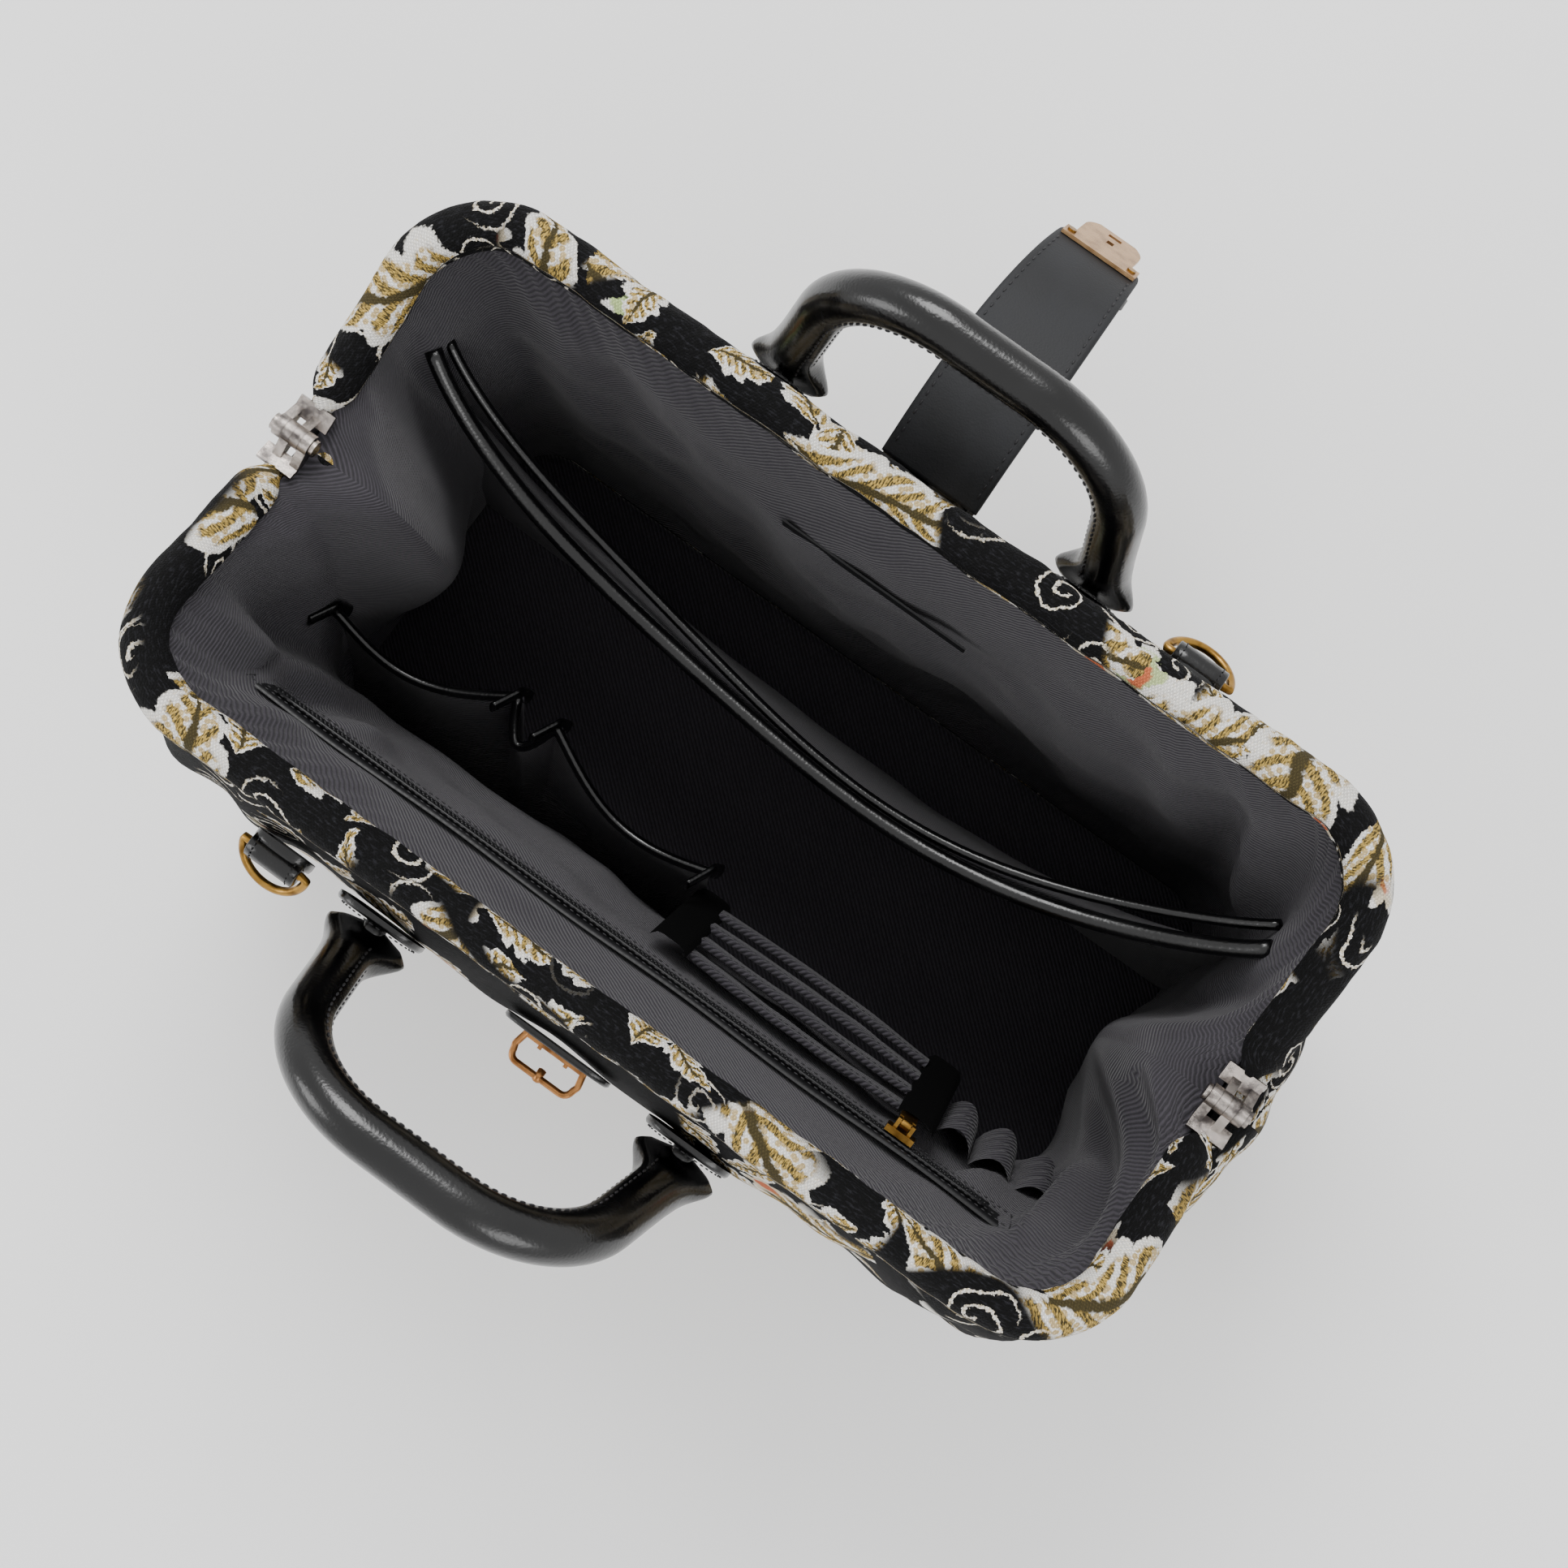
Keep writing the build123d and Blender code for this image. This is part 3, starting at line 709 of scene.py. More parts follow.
def add_shells():
    for back in (False, True):
        side = "back" if back else "front"
        end = "right" if back else "left"
        points = shell(OUTER_LEVELS, 64, outer_fold, 0.0026, 0.0006, 3.1 if back else 11.7)
        shift = (0.9, 0.3) if back else (0, 0)
        cloth = shell_piece(side + "_cloth_body", points, back, "tapestry", shift, False)
        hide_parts(side + "_panel", side + "_stiffener", end + "_gusset")
        blend_half(cloth)
        levels = INNER_BACK if back else INNER_FRONT
        calm = still_nowhere if back else calm_front
        points = shell(levels, 70, inner_fold, 0.005, 0.002, 7.9 if back else 21.3, calm)
        shift = (0.2, 0.4) if back else (0, 0)
        cloth = shell_piece(side + "_lining_cloth", points, back, "lining", shift, True)
        hidden = [side + "_lining", end + "_gusset_lining"]
        if not back:
            hidden.append("zip_pouch")
        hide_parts(*hidden)
        blend_half(cloth)


def add_sleeves():
    """The frame's fabric sleeves: full tubes with soft puckers, gathered at the hinges."""
    for back in (False, True):
        side = "back" if back else "front"
        step = 0.0021
        path = mirrored(hoop_path(SLEEVE_START - 0.002, step), back)
        seed = 5.0 if back else 1.0

        def section(i):
            ring = []
            share = i / (len(path) - 1)
            end = min(share, 1 - share) * len(path) * step
            close = 1 - 0.55 * exp(-(end / 0.006) ** 2)
            for j in range(44):
                turn = 2 * pi * j / 44
                p = (path[i][0] + cos(turn) * 0.01, path[i][1], path[i][2] + sin(turn) * 0.01)
                radius = SLEEVE_R + 0.0009 * wobble(p, 45, seed) + 0.0005 * wobble(p, 130, seed)
                ring.append((radius * close * cos(turn), radius * close * sin(turn)))
            return ring
        points, faces, uv = tube(path, section, in_frame(0, 0, -1) - in_frame(0, 0, 0))
        uv = np.array(uv) + (1.7, 0.0 if back else 0.5)
        sleeve = finish_mesh(side + "_sleeve_cloth", points, faces, "tapestry", uv)
        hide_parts(side + "_sleeve")
        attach(sleeve, side + "_frame")


def add_base_cloth():
    """The bottom: outer cloth with a soft edge, and the lining over the board."""
    def pad(half_x, half_y, radius, low, high, name, slot, node):
        plan = plan_line(half_x, half_y, radius, (10, 10, 40))
        outline = np.concatenate([plan, (plan * (1, -1))[::-1][1:-1]])
        edge = [(0.98, low), (1.0, (low * 3 + high) / 4), (1.0, (low + high * 3) / 4), (0.985, high)]
        rings = [(0.0, low), (0.5, low), *edge, (0.75, high), (0.5, high), (0.25, high), (0.0, high)]
        points, uv = [], []
        for scale, z in rings:
            for x, y in outline:
                sag = 0.0012 * wobble((x * scale, y * scale, 0), 16, 4.0) if z == high else 0
                points.append((x * scale, y * scale, z + sag))
                uv.append((x * scale + 0.6, y * scale + 0.2))
        faces = grid_faces(len(rings), len(outline), wrap=True, flip=True)
        made = finish_mesh(name, points, faces, slot, uv)
        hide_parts(node)
        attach(made, "base")
    pad(0.199, 0.097, 0.034, 0.002, 0.0048, "base_cloth", "tapestry", "bottom_panel")
    pad(0.189, 0.0855, 0.022, 0.0072, 0.0094, "floor_lining", "lining", "bottom_lining")


# ---- divider
def divider_top(x):
    """The padded divider's top edge: close to the back wall at its ends, and bowed forward between them."""
    share = 1 - (abs(x) / 0.195) ** 2
    y = 0.06 - 0.043 * share ** 0.8 - 0.005 * share * sin(x * 16 - 0.3)
    return np.array([x, y, 0.172 + 0.048 * (abs(x) / 0.195) ** 3.2])


def add_divider():
    columns, rows, thick = 120, 40, 0.0034
    front, behind = [], []
    for i in range(rows):
        t = i / (rows - 1)
        for j in range(columns):
            x = -0.193 + 0.386 * j / (columns - 1)
            top = divider_top(x)
            foot = np.array([x, 0.047, 0.0098])
            point = foot + (top - foot) * t + np.array([0, 0.006 * sin(pi * t), 0])
            point[1] += 0.0016 * wobble(point, 26, 9.0)
            puff = thick * (1 - (2 * t - 1) ** 8) * (1 - (abs(x) / 0.1935) ** 14) + 0.0006
            front.append(point - (0, puff, 0))
            behind.append(point + (0, puff, 0))
    size = rows * columns
    faces = grid_faces(rows, columns)
    faces += [tuple(size + i for i in face) for face in grid_faces(rows, columns, flip=True)]
    index = np.arange(size).reshape(rows, columns)
    edge = [*index[0], *index[1:, -1], *index[-1, -2::-1], *index[-2:0:-1, 0]]
    for a, b in zip(edge, edge[1:] + edge[:1]):
        faces.append((b, a, size + a, size + b))
    points = np.array(front + behind)
    uv = np.stack([points[:, 0] + 0.4, points[:, 2]], 1)
    pad = finish_mesh("divider_pad", points, faces, "lining", uv)
    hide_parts("laptop_divider")
    blend_half(pad)
    path = [divider_top(-0.194 + 0.388 * k / 160) + (0, 0, 0.0012) for k in range(161)]
    points, faces, uv = rod(path, 0.0036, 16, flat=0.85)
    piping = finish_mesh("divider_edge", points, faces, "leather", uv)
    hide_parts("divider_piping")
    blend_half(piping)
    path = [divider_top(-0.192 + 0.384 * k / 160) + (0, 0.0085 + 0.003 * sin(k * 0.05), -0.001)
            for k in range(161)]
    points, faces, uv = rod(path, 0.0022, 12)
    second = finish_mesh("divider_back_edge", points, faces, "leather", uv)
    blend_half(second)


# ---- front pockets
TACKS = [(-0.18, -0.04), (-0.1, -0.025), (-0.08, -0.026), (0.004, -0.037)]
POCKET_EDGE_Z = 0.152
POCKET_FOOT_Z = 0.022


def lining_at(z):
    """How far forward the front lining hangs at a height, from its levels."""
    heights = [row[3] if row[3] else 0.262 for row in INNER_FRONT]
    return -float(np.interp(z, heights[::-1], [row[1] for row in INNER_FRONT][::-1]))


def pocket_edge(count=40):
    """The pockets' top edge: it sags back towards the lining between its tacks."""
    path = []
    for (x0, y0), (x1, y1) in zip(TACKS, TACKS[1:]):
        wide = x1 - x0
        for k in range(count):
            t = k / count
            sag = sin(pi * t)
            depth = 0.011 if wide > 0.03 else 0.015
            path.append((x0 + wide * t, y0 + (y1 - y0) * t - depth * sag, POCKET_EDGE_Z - 0.01 * sag))
    path.append((*TACKS[-1], POCKET_EDGE_Z))
    return np.array(path)


def add_slip_pockets():
    edge = pocket_edge()
    rows = 30
    points = []
    for i in range(rows):
        t = i / (rows - 1)
        for x, y, z in edge:
            p = np.array([x, y, z])
            p[1] += (lining_at(POCKET_FOOT_Z) + 0.006 - y) * t ** 0.8 + 0.006 * sin(pi * t)
            p[2] += (POCKET_FOOT_Z - z) * t
            p[1] += 0.0016 * wobble(p, 30, 2.0) * sin(pi * t)
            points.append(p)
    columns = len(edge)
    grid = np.array(points).reshape(rows, columns, 3)
    uv = cloth_uv(grid, (0.1, 0.2))
    panel = finish_mesh("slip_pocket_cloth", points, grid_faces(rows, columns, flip=True), "lining", uv)
    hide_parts("slip_pocket")
    blend_half(panel)
    points, faces, uv = rod(resample(edge, 0.002), 0.0021, 12, flat=1.3)
    binding = finish_mesh("pocket_edge_binding", points, faces, "leather", uv)
    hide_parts("pocket_binding")
    blend_half(binding)
    pieces = []
    for x, y in TACKS:
        tab = [(x - 0.0045, y - 0.01, POCKET_EDGE_Z + 0.008), (x, y + 0.001, POCKET_EDGE_Z + 0.0025)]
        tab.append((x + 0.002, y + 0.003, POCKET_EDGE_Z - 0.01))
        pieces.append(rod(resample(tab, 0.001), 0.0034, 10, (1, 0, 0), 0.45))
    tabs = joined("pocket_tack_tabs", pieces, "leather")
    blend_half(tabs)
    folds = []
    for x, y in TACKS[1:3]:
        column = []
        for i in range(14):
            t = i / 13
            column.append((x, y + (lining_at(0.05) - y) * t * 0.4 + 0.001, POCKET_EDGE_Z - 0.1 * t))
        folds.append(rod(column, 0.0012, 8, (1, 0, 0), 2.0))
    ridges = joined("pocket_seams", folds, "lining")
    blend_half(ridges)


def slope_point(x, up, depth=0.0):
    """A point off the lining's upper slope, from its foot; depth stands into the bag."""
    low = np.array([lining_at(0.122), 0.122])
    high = np.array([lining_at(0.226), 0.226])
    along = high - low
    length = np.linalg.norm(along)
    along /= length
    out = np.array([along[1], -along[0]])
    spot = low + along * up * length + out * depth
    return np.array([x, spot[0], spot[1]])


CARD_LEVELS = [(0.02, 0.17), (0.17, 0.32), (0.32, 0.47), (0.47, 0.62)]     # along the slope, from its foot
CARD_X = 0.016
CARD_WIDTH = 0.102


def card_depth(index, bow):
    """How far a card slot stands off the slope; bow is 0 at its ends and 1 in its middle."""
    return 0.0155 - 0.0032 * index + 0.0016 * bow * sin(index + 1.2)


def add_cards():
    """Four stepped card slots between two velvet strips, and three gathered pen loops."""
    pieces = []
    for index, (low, high) in enumerate(CARD_LEVELS):
        columns = 50
        points = []
        for t, lift in ((0, 0.0), (0.0, 0.6), (0.5, 1.0), (0.96, 1.0), (1.0, 0.9), (1.0, 0.3), (0.9, 0.1)):
            for j in range(columns):
                x = CARD_X + CARD_WIDTH * j / (columns - 1)
                depth = card_depth(index, sin(pi * j / (columns - 1))) + 0.0034 * lift
                depth += 0.0008 * wobble((x, t, index), 40, 6)
                points.append(slope_point(x, low + (high - low) * t - 0.01, depth))
        pieces.append((points, grid_faces(7, columns)))
    slots = joined("card_slot_cloth", pieces, "lining")
    add_box_uv(slots)
    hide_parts("card_slots")
    blend_half(slots)
    lines = []
    for index, (_, high) in enumerate(CARD_LEVELS):
        path = []
        for k in range(40):
            x = 0.019 + 0.096 * k / 39
            bow = sin(pi * (x - CARD_X) / CARD_WIDTH)
            path.append(slope_point(x, high - 0.03, card_depth(index, bow) + 0.0036))
        lines.append(path)
    seams = stitches("card_slot_stitches", lines, (0, 1, 0.3), 0.003, 0.0018, 0.00018)
    blend_half(seams)
    strips = []
    for x0 in (0.002, 0.117):
        points = []
        columns = 30
        for k in range(9):
            x = x0 + 0.0165 * k / 8
            lift = 0.003 * (1 - (k / 4 - 1) ** 6)
            for j in range(columns):
                up = -0.02 + 0.74 * j / (columns - 1)
                points.append(slope_point(x, up, 0.017 - 0.012 * max(0, up) + lift))
        strips.append((points, grid_faces(9, columns)))
    velvet = joined("velvet_edging", strips, "velvet")
    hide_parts("velvet_strips")
    blend_half(velvet)
    loops = []
    for index, x0 in enumerate((0.133, 0.152, 0.171)):
        points = []
        columns = 26
        for k in range(15):
            t = k / 14
            x = x0 + 0.0185 * t
            bulge = 0.01 * sin(pi * t) ** 0.7
            for j in range(columns):
                up = 0.02 + 0.44 * j / (columns - 1)
                pinch = 1 + 0.18 * sin(j * 0.9 + index)
                points.append(slope_point(x, up, 0.002 + bulge * pinch))
        loops.append((points, grid_faces(15, columns)))
    pens = joined("pen_loop_cloth", loops, "lining")
    add_box_uv(pens)
    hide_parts("pen_loops")
    blend_half(pens)


def add_box_uv(piece):
    """Cloth coordinates from a piece's own x and z, for small flat pieces."""
    co = np.zeros(len(piece.data.vertices) * 3)
    piece.data.vertices.foreach_get("co", co)
    x, y, z = co.reshape(-1, 3).T
    write_uv(piece.data, np.stack([x, z - y], 1))


# ---- zip
def add_zip():
    """The tape, its stitched frame and two coils of teeth, on the CAD zip's line."""
    low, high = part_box("zip_teeth")
    centre = np.array([(low.x + high.x) / 2, (low.y + high.y) / 2, (low.z + high.z) / 2])
    along = np.array([0.0, -0.022, 0.111])
    along /= np.linalg.norm(along)
    out = np.array([0.0, along[2], -along[1]])

    def at(x, up, depth=0.0):
        return centre + (x, 0, 0) + along * up + out * depth
    tape_points = []
    heights = (-0.01, -0.0098, -0.0035, 0.0035, 0.0098, 0.01)
    for up in heights:
        for j in range(80):
            x = -0.17 + 0.34 * j / 79
            lift = 0.0012 if abs(up) < 0.0099 else 0
            tape_points.append(at(x, up, -0.0028 + lift + 0.0005 * sin(x * 60)))
    tape = finish_mesh("zip_tape_cloth", tape_points, grid_faces(len(heights), 80), "zip_black")
    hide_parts("zip_tape")
    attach(tape, "front_wall")
    coils = []
    for sign in (-1, 1):
        for k in range(164):
            x = -0.164 + 0.002 * k + (0.001 if sign > 0 else 0)
            spot = at(x, sign * 0.0013, 0.0)
            coils.append(bead(spot, along, (1, 0, 0), 0.0042, 0.00085))
        cord = [at(-0.164 + 0.328 * j / 30, sign * 0.0032, -0.0002) for j in range(31)]
        coils.append(rod(cord, 0.0007, 8))
    teeth = joined("zip_coil", coils, "zip_black")
    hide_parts("zip_teeth")
    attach(teeth, "front_wall")
    loop = [at(-0.174, -0.012), at(-0.174, 0.012), at(0.174, 0.012), at(0.174, -0.012), at(-0.174, -0.012)]
    inner = [at(-0.166, -0.0062), at(0.166, -0.0062)]
    upper = [at(-0.166, 0.0062), at(0.166, 0.0062)]
    seams = stitches("zip_stitches", [loop, inner, upper], (0, 1, 0.2), 0.003, 0.002, 0.0003)
    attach(seams, "front_wall")


# ---- handles
SEAM_TURN = radians(38)      # round the grip, from its inner side towards the top


def handle_line(angle, spacing=0.0022):
    tilt = radians(angle)
    lean = atan2(HANDLE_X - HANDLE_TOP_X, HANDLE_HEIGHT - 0.02)
    centre_h = HANDLE_HEIGHT - HANDLE_BEND
    centre_x = -HANDLE_TOP_X + HANDLE_BEND * tan((pi / 2 - lean) / 2)
    flat = [(-HANDLE_X, -0.005), (-HANDLE_X, 0.014), (-HANDLE_X + 0.0003, 0.02)]
    for step in range(25):
        turn = lean + step / 24 * (pi / 2 - lean)
        flat.append((centre_x - HANDLE_BEND * cos(turn), centre_h + HANDLE_BEND * sin(turn)))
    flat += [(-x, h) for x, h in reversed(flat)]
    y, z = HANDLE_AXIS
    path = [np.array([HANDLE_MIDDLE + x, y - h * cos(tilt), z + h * sin(tilt)]) for x, h in flat]
    return resample(path, spacing)


def add_handles():
    for back, angle in ((False, FRONT_HANDLE_ANGLE), (True, BACK_HANDLE_ANGLE)):
        side = "back" if back else "front"
        path = mirrored(handle_line(angle), back)
        run = run_along(path)
        tilt = radians(angle)
        normal = np.array([0, sin(tilt) * (-1 if not back else 1), -cos(tilt)])

        def section(i):
            end = min(run[i], run[-1] - run[i])
            flare = exp(-(max(0.0, end - 0.003) / 0.013) ** 2)
            tip = min(1.0, 0.45 + end / 0.005)
            wide = (GRIP_R + 0.008 * flare) * tip
            deep = 0.0098 - 0.0042 * flare
            ring = []
            for j in range(36):
                turn = 2 * pi * j / 36
                a, b = wide * cos(turn), deep * sin(turn)
                seam_turn = pi + SEAM_TURN if back else 2 * pi - SEAM_TURN
                ridge = 0.0012 * exp(-((turn - seam_turn) / 0.16) ** 2)
                ring.append((a * (1 + ridge / wide), b))
            return ring
        points, faces, uv = tube(path, section, normal)
        grip = finish_mesh(side + "_handle_leather", points, faces, "leather", uv)
        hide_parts(side + "_handle")
        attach(grip, side + "_handle")
        _, inward, high = frames_along(path, normal)
        keep = (run > 0.018) & (run < run[-1] - 0.018)
        sign = -1 if back else 1
        lines = []
        for turn in (SEAM_TURN - 0.28, SEAM_TURN + 0.28):
            off = inward * sign * cos(turn) * 0.0101 - high * sin(turn) * 0.0101
            lines.append((path + off)[keep])
        seam = stitches(side + "_handle_stitches", lines, normal, 0.0036, 0.0026, 0.00045)
        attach(seam, side + "_handle")


def shield(centre, half_wide, top, bottom, thick):
    """A rounded leather patch in the X-Z plane, facing -Y, with a padded edge."""
    outline = []
    for k in range(48):
        turn = 2 * pi * k / 48
        c, s = cos(turn), sin(turn)
        x = half_wide * copysign(abs(c) ** 0.6, c)
        z = (top if s > 0 else bottom) * copysign(abs(s) ** 0.75, s)
        outline.append((x, z))
    points = []
    rings = ((1.0, 0.0), (1.0, 0.6), (0.96, 0.95), (0.86, 1.0), (0.5, 1.05), (0.0, 1.1))
    for scale, lift in rings:
        for x, z in outline:
            points.append((centre[0] + x * scale, centre[1] - thick * lift, centre[2] + z * scale))
    return points, grid_faces(len(rings), 48, wrap=True, flip=True)


def add_handle_tabs():
    """Leather patches sewn to the wall, each with a fold that holds a handle foot on its pin."""
    for back in (False, True):
        side = "back" if back else "front"
        y, z = HANDLE_AXIS
        pieces, lines = [], []
        for x in (HANDLE_MIDDLE - HANDLE_X, HANDLE_MIDDLE + HANDLE_X):
            points, faces = shield((x, -0.1262, 0.2), 0.019, 0.0155, 0.024, 0.003)
            pieces.append((mirrored(points, back), faces))
            path = [(x + 0.0168 * cos(t / 24 * 2 * pi), -0.1298,
                     0.1975 + 0.0175 * sin(t / 24 * 2 * pi)) for t in range(25)]
            lines.append(mirrored(path, back))
            fold = [(x + 0.0045 * s, y, z) for s in (-1, -0.9, -0.4, 0.4, 0.9, 1)]
            widths = (0.0042, 0.005, 0.0053, 0.0053, 0.005, 0.0042)
            pieces.append(rod(mirrored(fold, back), widths, 18))
            neck = [(x, -0.1275, z - 0.001), (x, -0.132, z), (x, y, z)]
            pieces.append(rod(mirrored(neck, back), 0.0047, 14))
        tabs = joined(side + "_handle_patches", pieces, "leather")
        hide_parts(side + "_handle_tabs", side + "_handle_pins")
        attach(tabs, side + "_wall")
        seams = stitches(side + "_patch_stitches", lines, (0, 1, 0), 0.003, 0.002, 0.00035)
        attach(seams, side + "_wall")


# ---- rings
def add_rings():
    for back, x in ((False, FRONT_RING_X), (True, BACK_RING_X)):
        side = "back" if back else "front"
        y, z = RING_AXIS
        centre = np.array([x, y, z])
        down = np.array([0, -cos(radians(-45)), sin(radians(-45))])
        path = []
        for t in np.linspace(0, pi, 41):
            path.append(centre + (RING_R * cos(t), 0, 0) + down * RING_R * 1.02 * sin(t))
        bar = [centre + (-RING_R + 2 * RING_R * k / 12, 0, 0) for k in range(1, 12)]
        path = mirrored(path + bar, back)
        loop = np.concatenate([path, path[:1]])
        _, across, high = frames_along(loop, (0, -0.7 if back else 0.7, -0.7))
        wire = circle(RING_WIRE_R, 14)
        points = [spot + side_way * a + high_way * b
                  for spot, side_way, high_way in zip(path, across, high) for a, b in wire]
        # The last round of the wire joins the first
        count = len(path) * 14
        faces = [tuple(i % count for i in face) for face in grid_faces(len(path) + 1, 14, wrap=True)]
        ring = finish_mesh(side + "_d_ring", points, faces, "antique_brass")
        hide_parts(side + "_ring")
        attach(ring, side + "_ring")
        holder = [centre + (0.0112 * s, 0, 0) for s in (-1, -0.96, -0.5, 0, 0.5, 0.96, 1)]
        holder = mirrored(holder, back)
        sizes = (0.0048, 0.0055, 0.0056, 0.0056, 0.0056, 0.0055, 0.0048)
        roll = rod(holder, sizes, 20)
        plate = shield((x, -0.1255, z - 0.004), 0.0125, 0.0105, 0.015, 0.004)
        plate = (mirrored(plate[0], back), plate[1])
        loop_piece = joined(side + "_ring_leather", [roll, plate], "leather")
        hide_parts(side + "_ring_loop")
        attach(loop_piece, side + "_wall")
        lines = []
        for s in (-1, 1):
            arc = [centre + (0.0085 * s, -0.0058 * cos(t), 0.0058 * sin(t))
                   for t in np.linspace(-0.4, 2.0, 9)]
            lines.append(mirrored(arc, back))
        seam = stitches(side + "_ring_stitches", lines, (1, 0, 0), 0.0022, 0.0015, 0.0003)
        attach(seam, side + "_wall")


# ---- strap and lock
def strap_frame(run):
    """A point of the strap's middle line and its slope, at a distance from the wall."""
    y, z = STRAP_START
    way = np.array([cos(STRAP_RISE), sin(STRAP_RISE)])
    if run <= STRAP_LEAD:
        spot = np.array([y, z]) + way * run
        return np.array([STRAP_X, *spot]), STRAP_RISE
    down = np.array([way[1], -way[0]])
    centre = np.array([y, z]) + way * STRAP_LEAD + down * STRAP_BEND
    turn = (run - STRAP_LEAD) / STRAP_BEND
    spot = centre - down * STRAP_BEND * cos(turn) + way * STRAP_BEND * sin(turn)
    return np.array([STRAP_X, *spot]), STRAP_RISE - turn


def add_strap():
    length = STRAP_LEAD + STRAP_BEND * STRAP_TURN
    rows = 90
    half_thick = STRAP_THICK / 2
    points, edges = [], ([], [])
    for i in range(rows):
        run = length * i / (rows - 1)
        spot, angle = strap_frame(run)
        up = np.array([0, -sin(angle), cos(angle)])
        narrow = np.clip((run - 0.06) / (length - 0.06), 0, 1)
        half = 0.022 - 0.0035 * narrow ** 1.3
        end = min(1.0, (length - run) / 0.004)
        half *= 0.9 + 0.1 * sqrt(max(0.0, end))
        for a, b in ((-1, -0.5), (-0.985, -0.95), (-0.9, -1), (0, -1), (0.9, -1), (0.985, -0.95), (1, -0.5),
                     (1, 0.5), (0.985, 0.95), (0.9, 1), (0, 1), (-0.9, 1), (-0.985, 0.95), (-1, 0.5)):
            points.append(spot + (half * a, 0, 0) + up * half_thick * b)
        if 0.006 < run < length - 0.012:
            for line, sign in zip(edges, (-1, 1)):
                line.append(spot + (sign * (half - 0.003), 0, 0) + up * (half_thick + 0.0001))
    faces = grid_faces(rows, 14, wrap=True)
    faces.append(tuple(range(14))[::-1])
    faces.append(tuple((rows - 1) * 14 + j for j in range(14)))
    strap = finish_mesh("strap_leather_band", points, faces, "strap_leather")
    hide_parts("closure_strap")
    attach(strap, "strap")
    seam = stitches("strap_stitches", edges, (0, 0, 1), 0.0042, 0.0026, 0.0004)
    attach(seam, "strap")
    base = shield((STRAP_X, -0.1262, 0.202), 0.0225, 0.0125, 0.015, 0.0034)
    neck = [(STRAP_X + 0.021 * s, 0.1295, 0.2145) for s in (-1.0, -0.5, 0, 0.5, 1.0)]
    root = [(mirrored(base[0], True), base[1]), rod(neck, 0.0026, 12)]
    root = joined("strap_root_leather", root, "leather")
    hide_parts("strap_root")
    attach(root, "back_wall")


def add_lock():
    """A leather patch with an open brass frame, and the button that works through the frame's outer bar."""
    patch = shield((0, -0.1258, 0.202), 0.024, 0.011, 0.012, 0.0024)
    leather = joined("lock_leather", [patch], "leather")
    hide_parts("lock_patch")
    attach(leather, "front_wall")
    half, reach, corner, z = 0.0145, 0.0125, 0.0035, 0.199
    outline = [(-half + 0.0015, 0.0), (-half, reach * 0.55), (-half + 0.0008, reach - corner)]
    for step in range(1, 7):
        turn = step / 6 * pi / 2
        x, y = corner * (1 - cos(turn)), corner * (1 - sin(turn))
        outline.append((-half + 0.0008 + x, reach - y))
    outline += [(-x, y) for x, y in reversed(outline)]
    path = resample([(x, -0.1275 - y, z) for x, y in outline], 0.0008)
    pieces = [rod(path, 0.0014, 14)]
    pieces.append(rod(resample([(-half, -0.1288, z), (half, -0.1288, z)], 0.001), 0.0013, 12))
    for x in (-0.006, 0.006):
        pieces.append(rod(resample([(x, -0.129, z), (x, -0.1312, z)], 0.0005), 0.0009, 10))
    ring = joined("lock_frame", pieces, "lock_brass")
    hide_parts("lock_case")
    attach(ring, "front_wall")
    stem = [(0, y, z) for y in (-0.1362, -0.1366, -0.1415, -0.142)]
    press = joined("lock_push", [rod(stem, (0.0008, 0.0017, 0.0017, 0.0008), 14)], "lock_brass")
    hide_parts("lock_button", "lock_spring")
    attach(press, "lock_button")


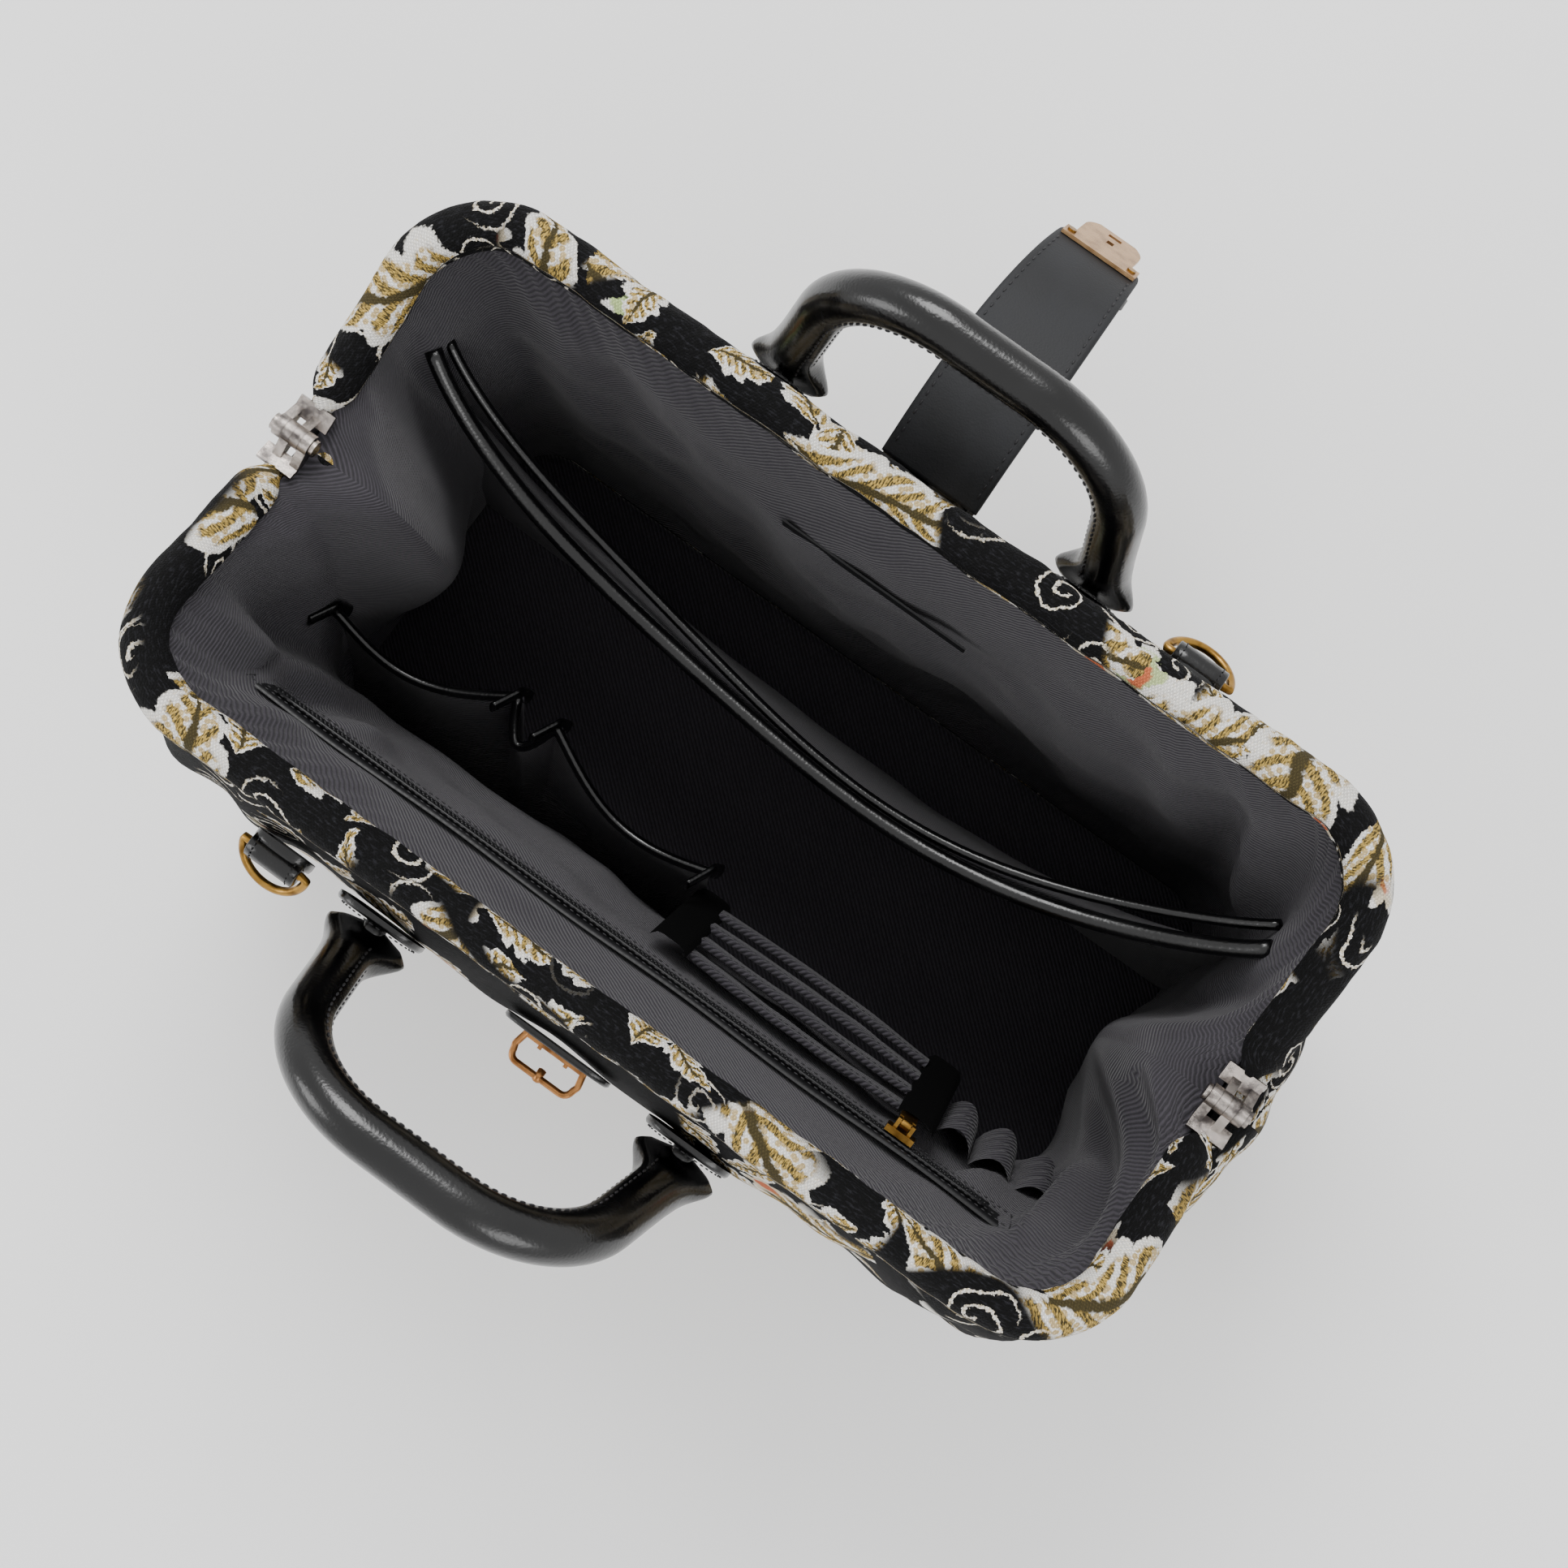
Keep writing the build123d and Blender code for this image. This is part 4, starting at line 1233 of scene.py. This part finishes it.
def add_stage_and_camera():
    floor = bpy.data.meshes.new("floor")
    reach = 6.0
    corners = [(-reach, -reach, 0), (reach, -reach, 0), (reach, reach, 0), (-reach, reach, 0)]
    floor.from_pydata(corners, [], [(0, 1, 2, 3)])
    ground = bpy.data.objects.new("floor", floor)
    bpy.context.scene.collection.objects.link(ground)
    paper = Nodes("paper")
    paper.set(Base_Color=(0.97, 0.97, 0.97, 1), Roughness=0.95)
    floor.materials.append(paper.material)
    world = bpy.data.worlds.new("studio")
    bpy.context.scene.world = world
    world.use_nodes = True
    sky = world.node_tree.nodes["Background"]
    sky.inputs[0].default_value = (1, 1, 1, 1)
    sky.inputs[1].default_value = WORLD_STRENGTH

    def softbox(name, spot, aim, size, power):
        light = bpy.data.lights.new(name, "AREA")
        light.shape = "RECTANGLE"
        light.size, light.size_y = size
        light.energy = power
        lamp = bpy.data.objects.new(name, light)
        lamp.location = spot
        lamp.rotation_euler = (Vector(aim) - Vector(spot)).to_track_quat("-Z", "Y").to_euler()
        bpy.context.scene.collection.objects.link(lamp)
    softbox("key_softbox", (-0.7, 0.9, 1.7), (0, 0, 0.2), (0.9, 0.9), 27)
    softbox("fill_softbox", (1.2, -0.9, 1.4), (0, 0, 0.2), (1.0, 0.8), 12)
    softbox("low_softbox", (-1.3, -1.1, 0.9), (0, 0, 0.2), (0.7, 0.7), 8)

    c, s = cos(VIEW_AZIMUTH), sin(VIEW_AZIMUTH)
    level = cos(VIEW_ELEVATION)
    target = Vector(VIEW_TARGET)
    away = Vector((s * level, -c * level, sin(VIEW_ELEVATION)))
    right = Vector((c, s, 0))
    up = away.cross(right)
    camera = bpy.data.cameras.new("camera")
    camera.lens = LENS
    camera.sensor_width = 36.0
    eye = bpy.data.objects.new("camera", camera)
    eye.matrix_world = Matrix((
        (right.x, up.x, away.x, target.x + away.x), (right.y, up.y, away.y, target.y + away.y),
        (right.z, up.z, away.z, target.z + away.z), (0, 0, 0, 1)))
    bpy.context.scene.collection.objects.link(eye)
    bpy.context.scene.camera = eye


dress_frame()
add_stage_and_camera()
add_shells()
add_sleeves()
add_base_cloth()
add_divider()
add_slip_pockets()
add_cards()
add_zip()
add_handles()
add_handle_tabs()
add_rings()
add_strap()
add_lock()
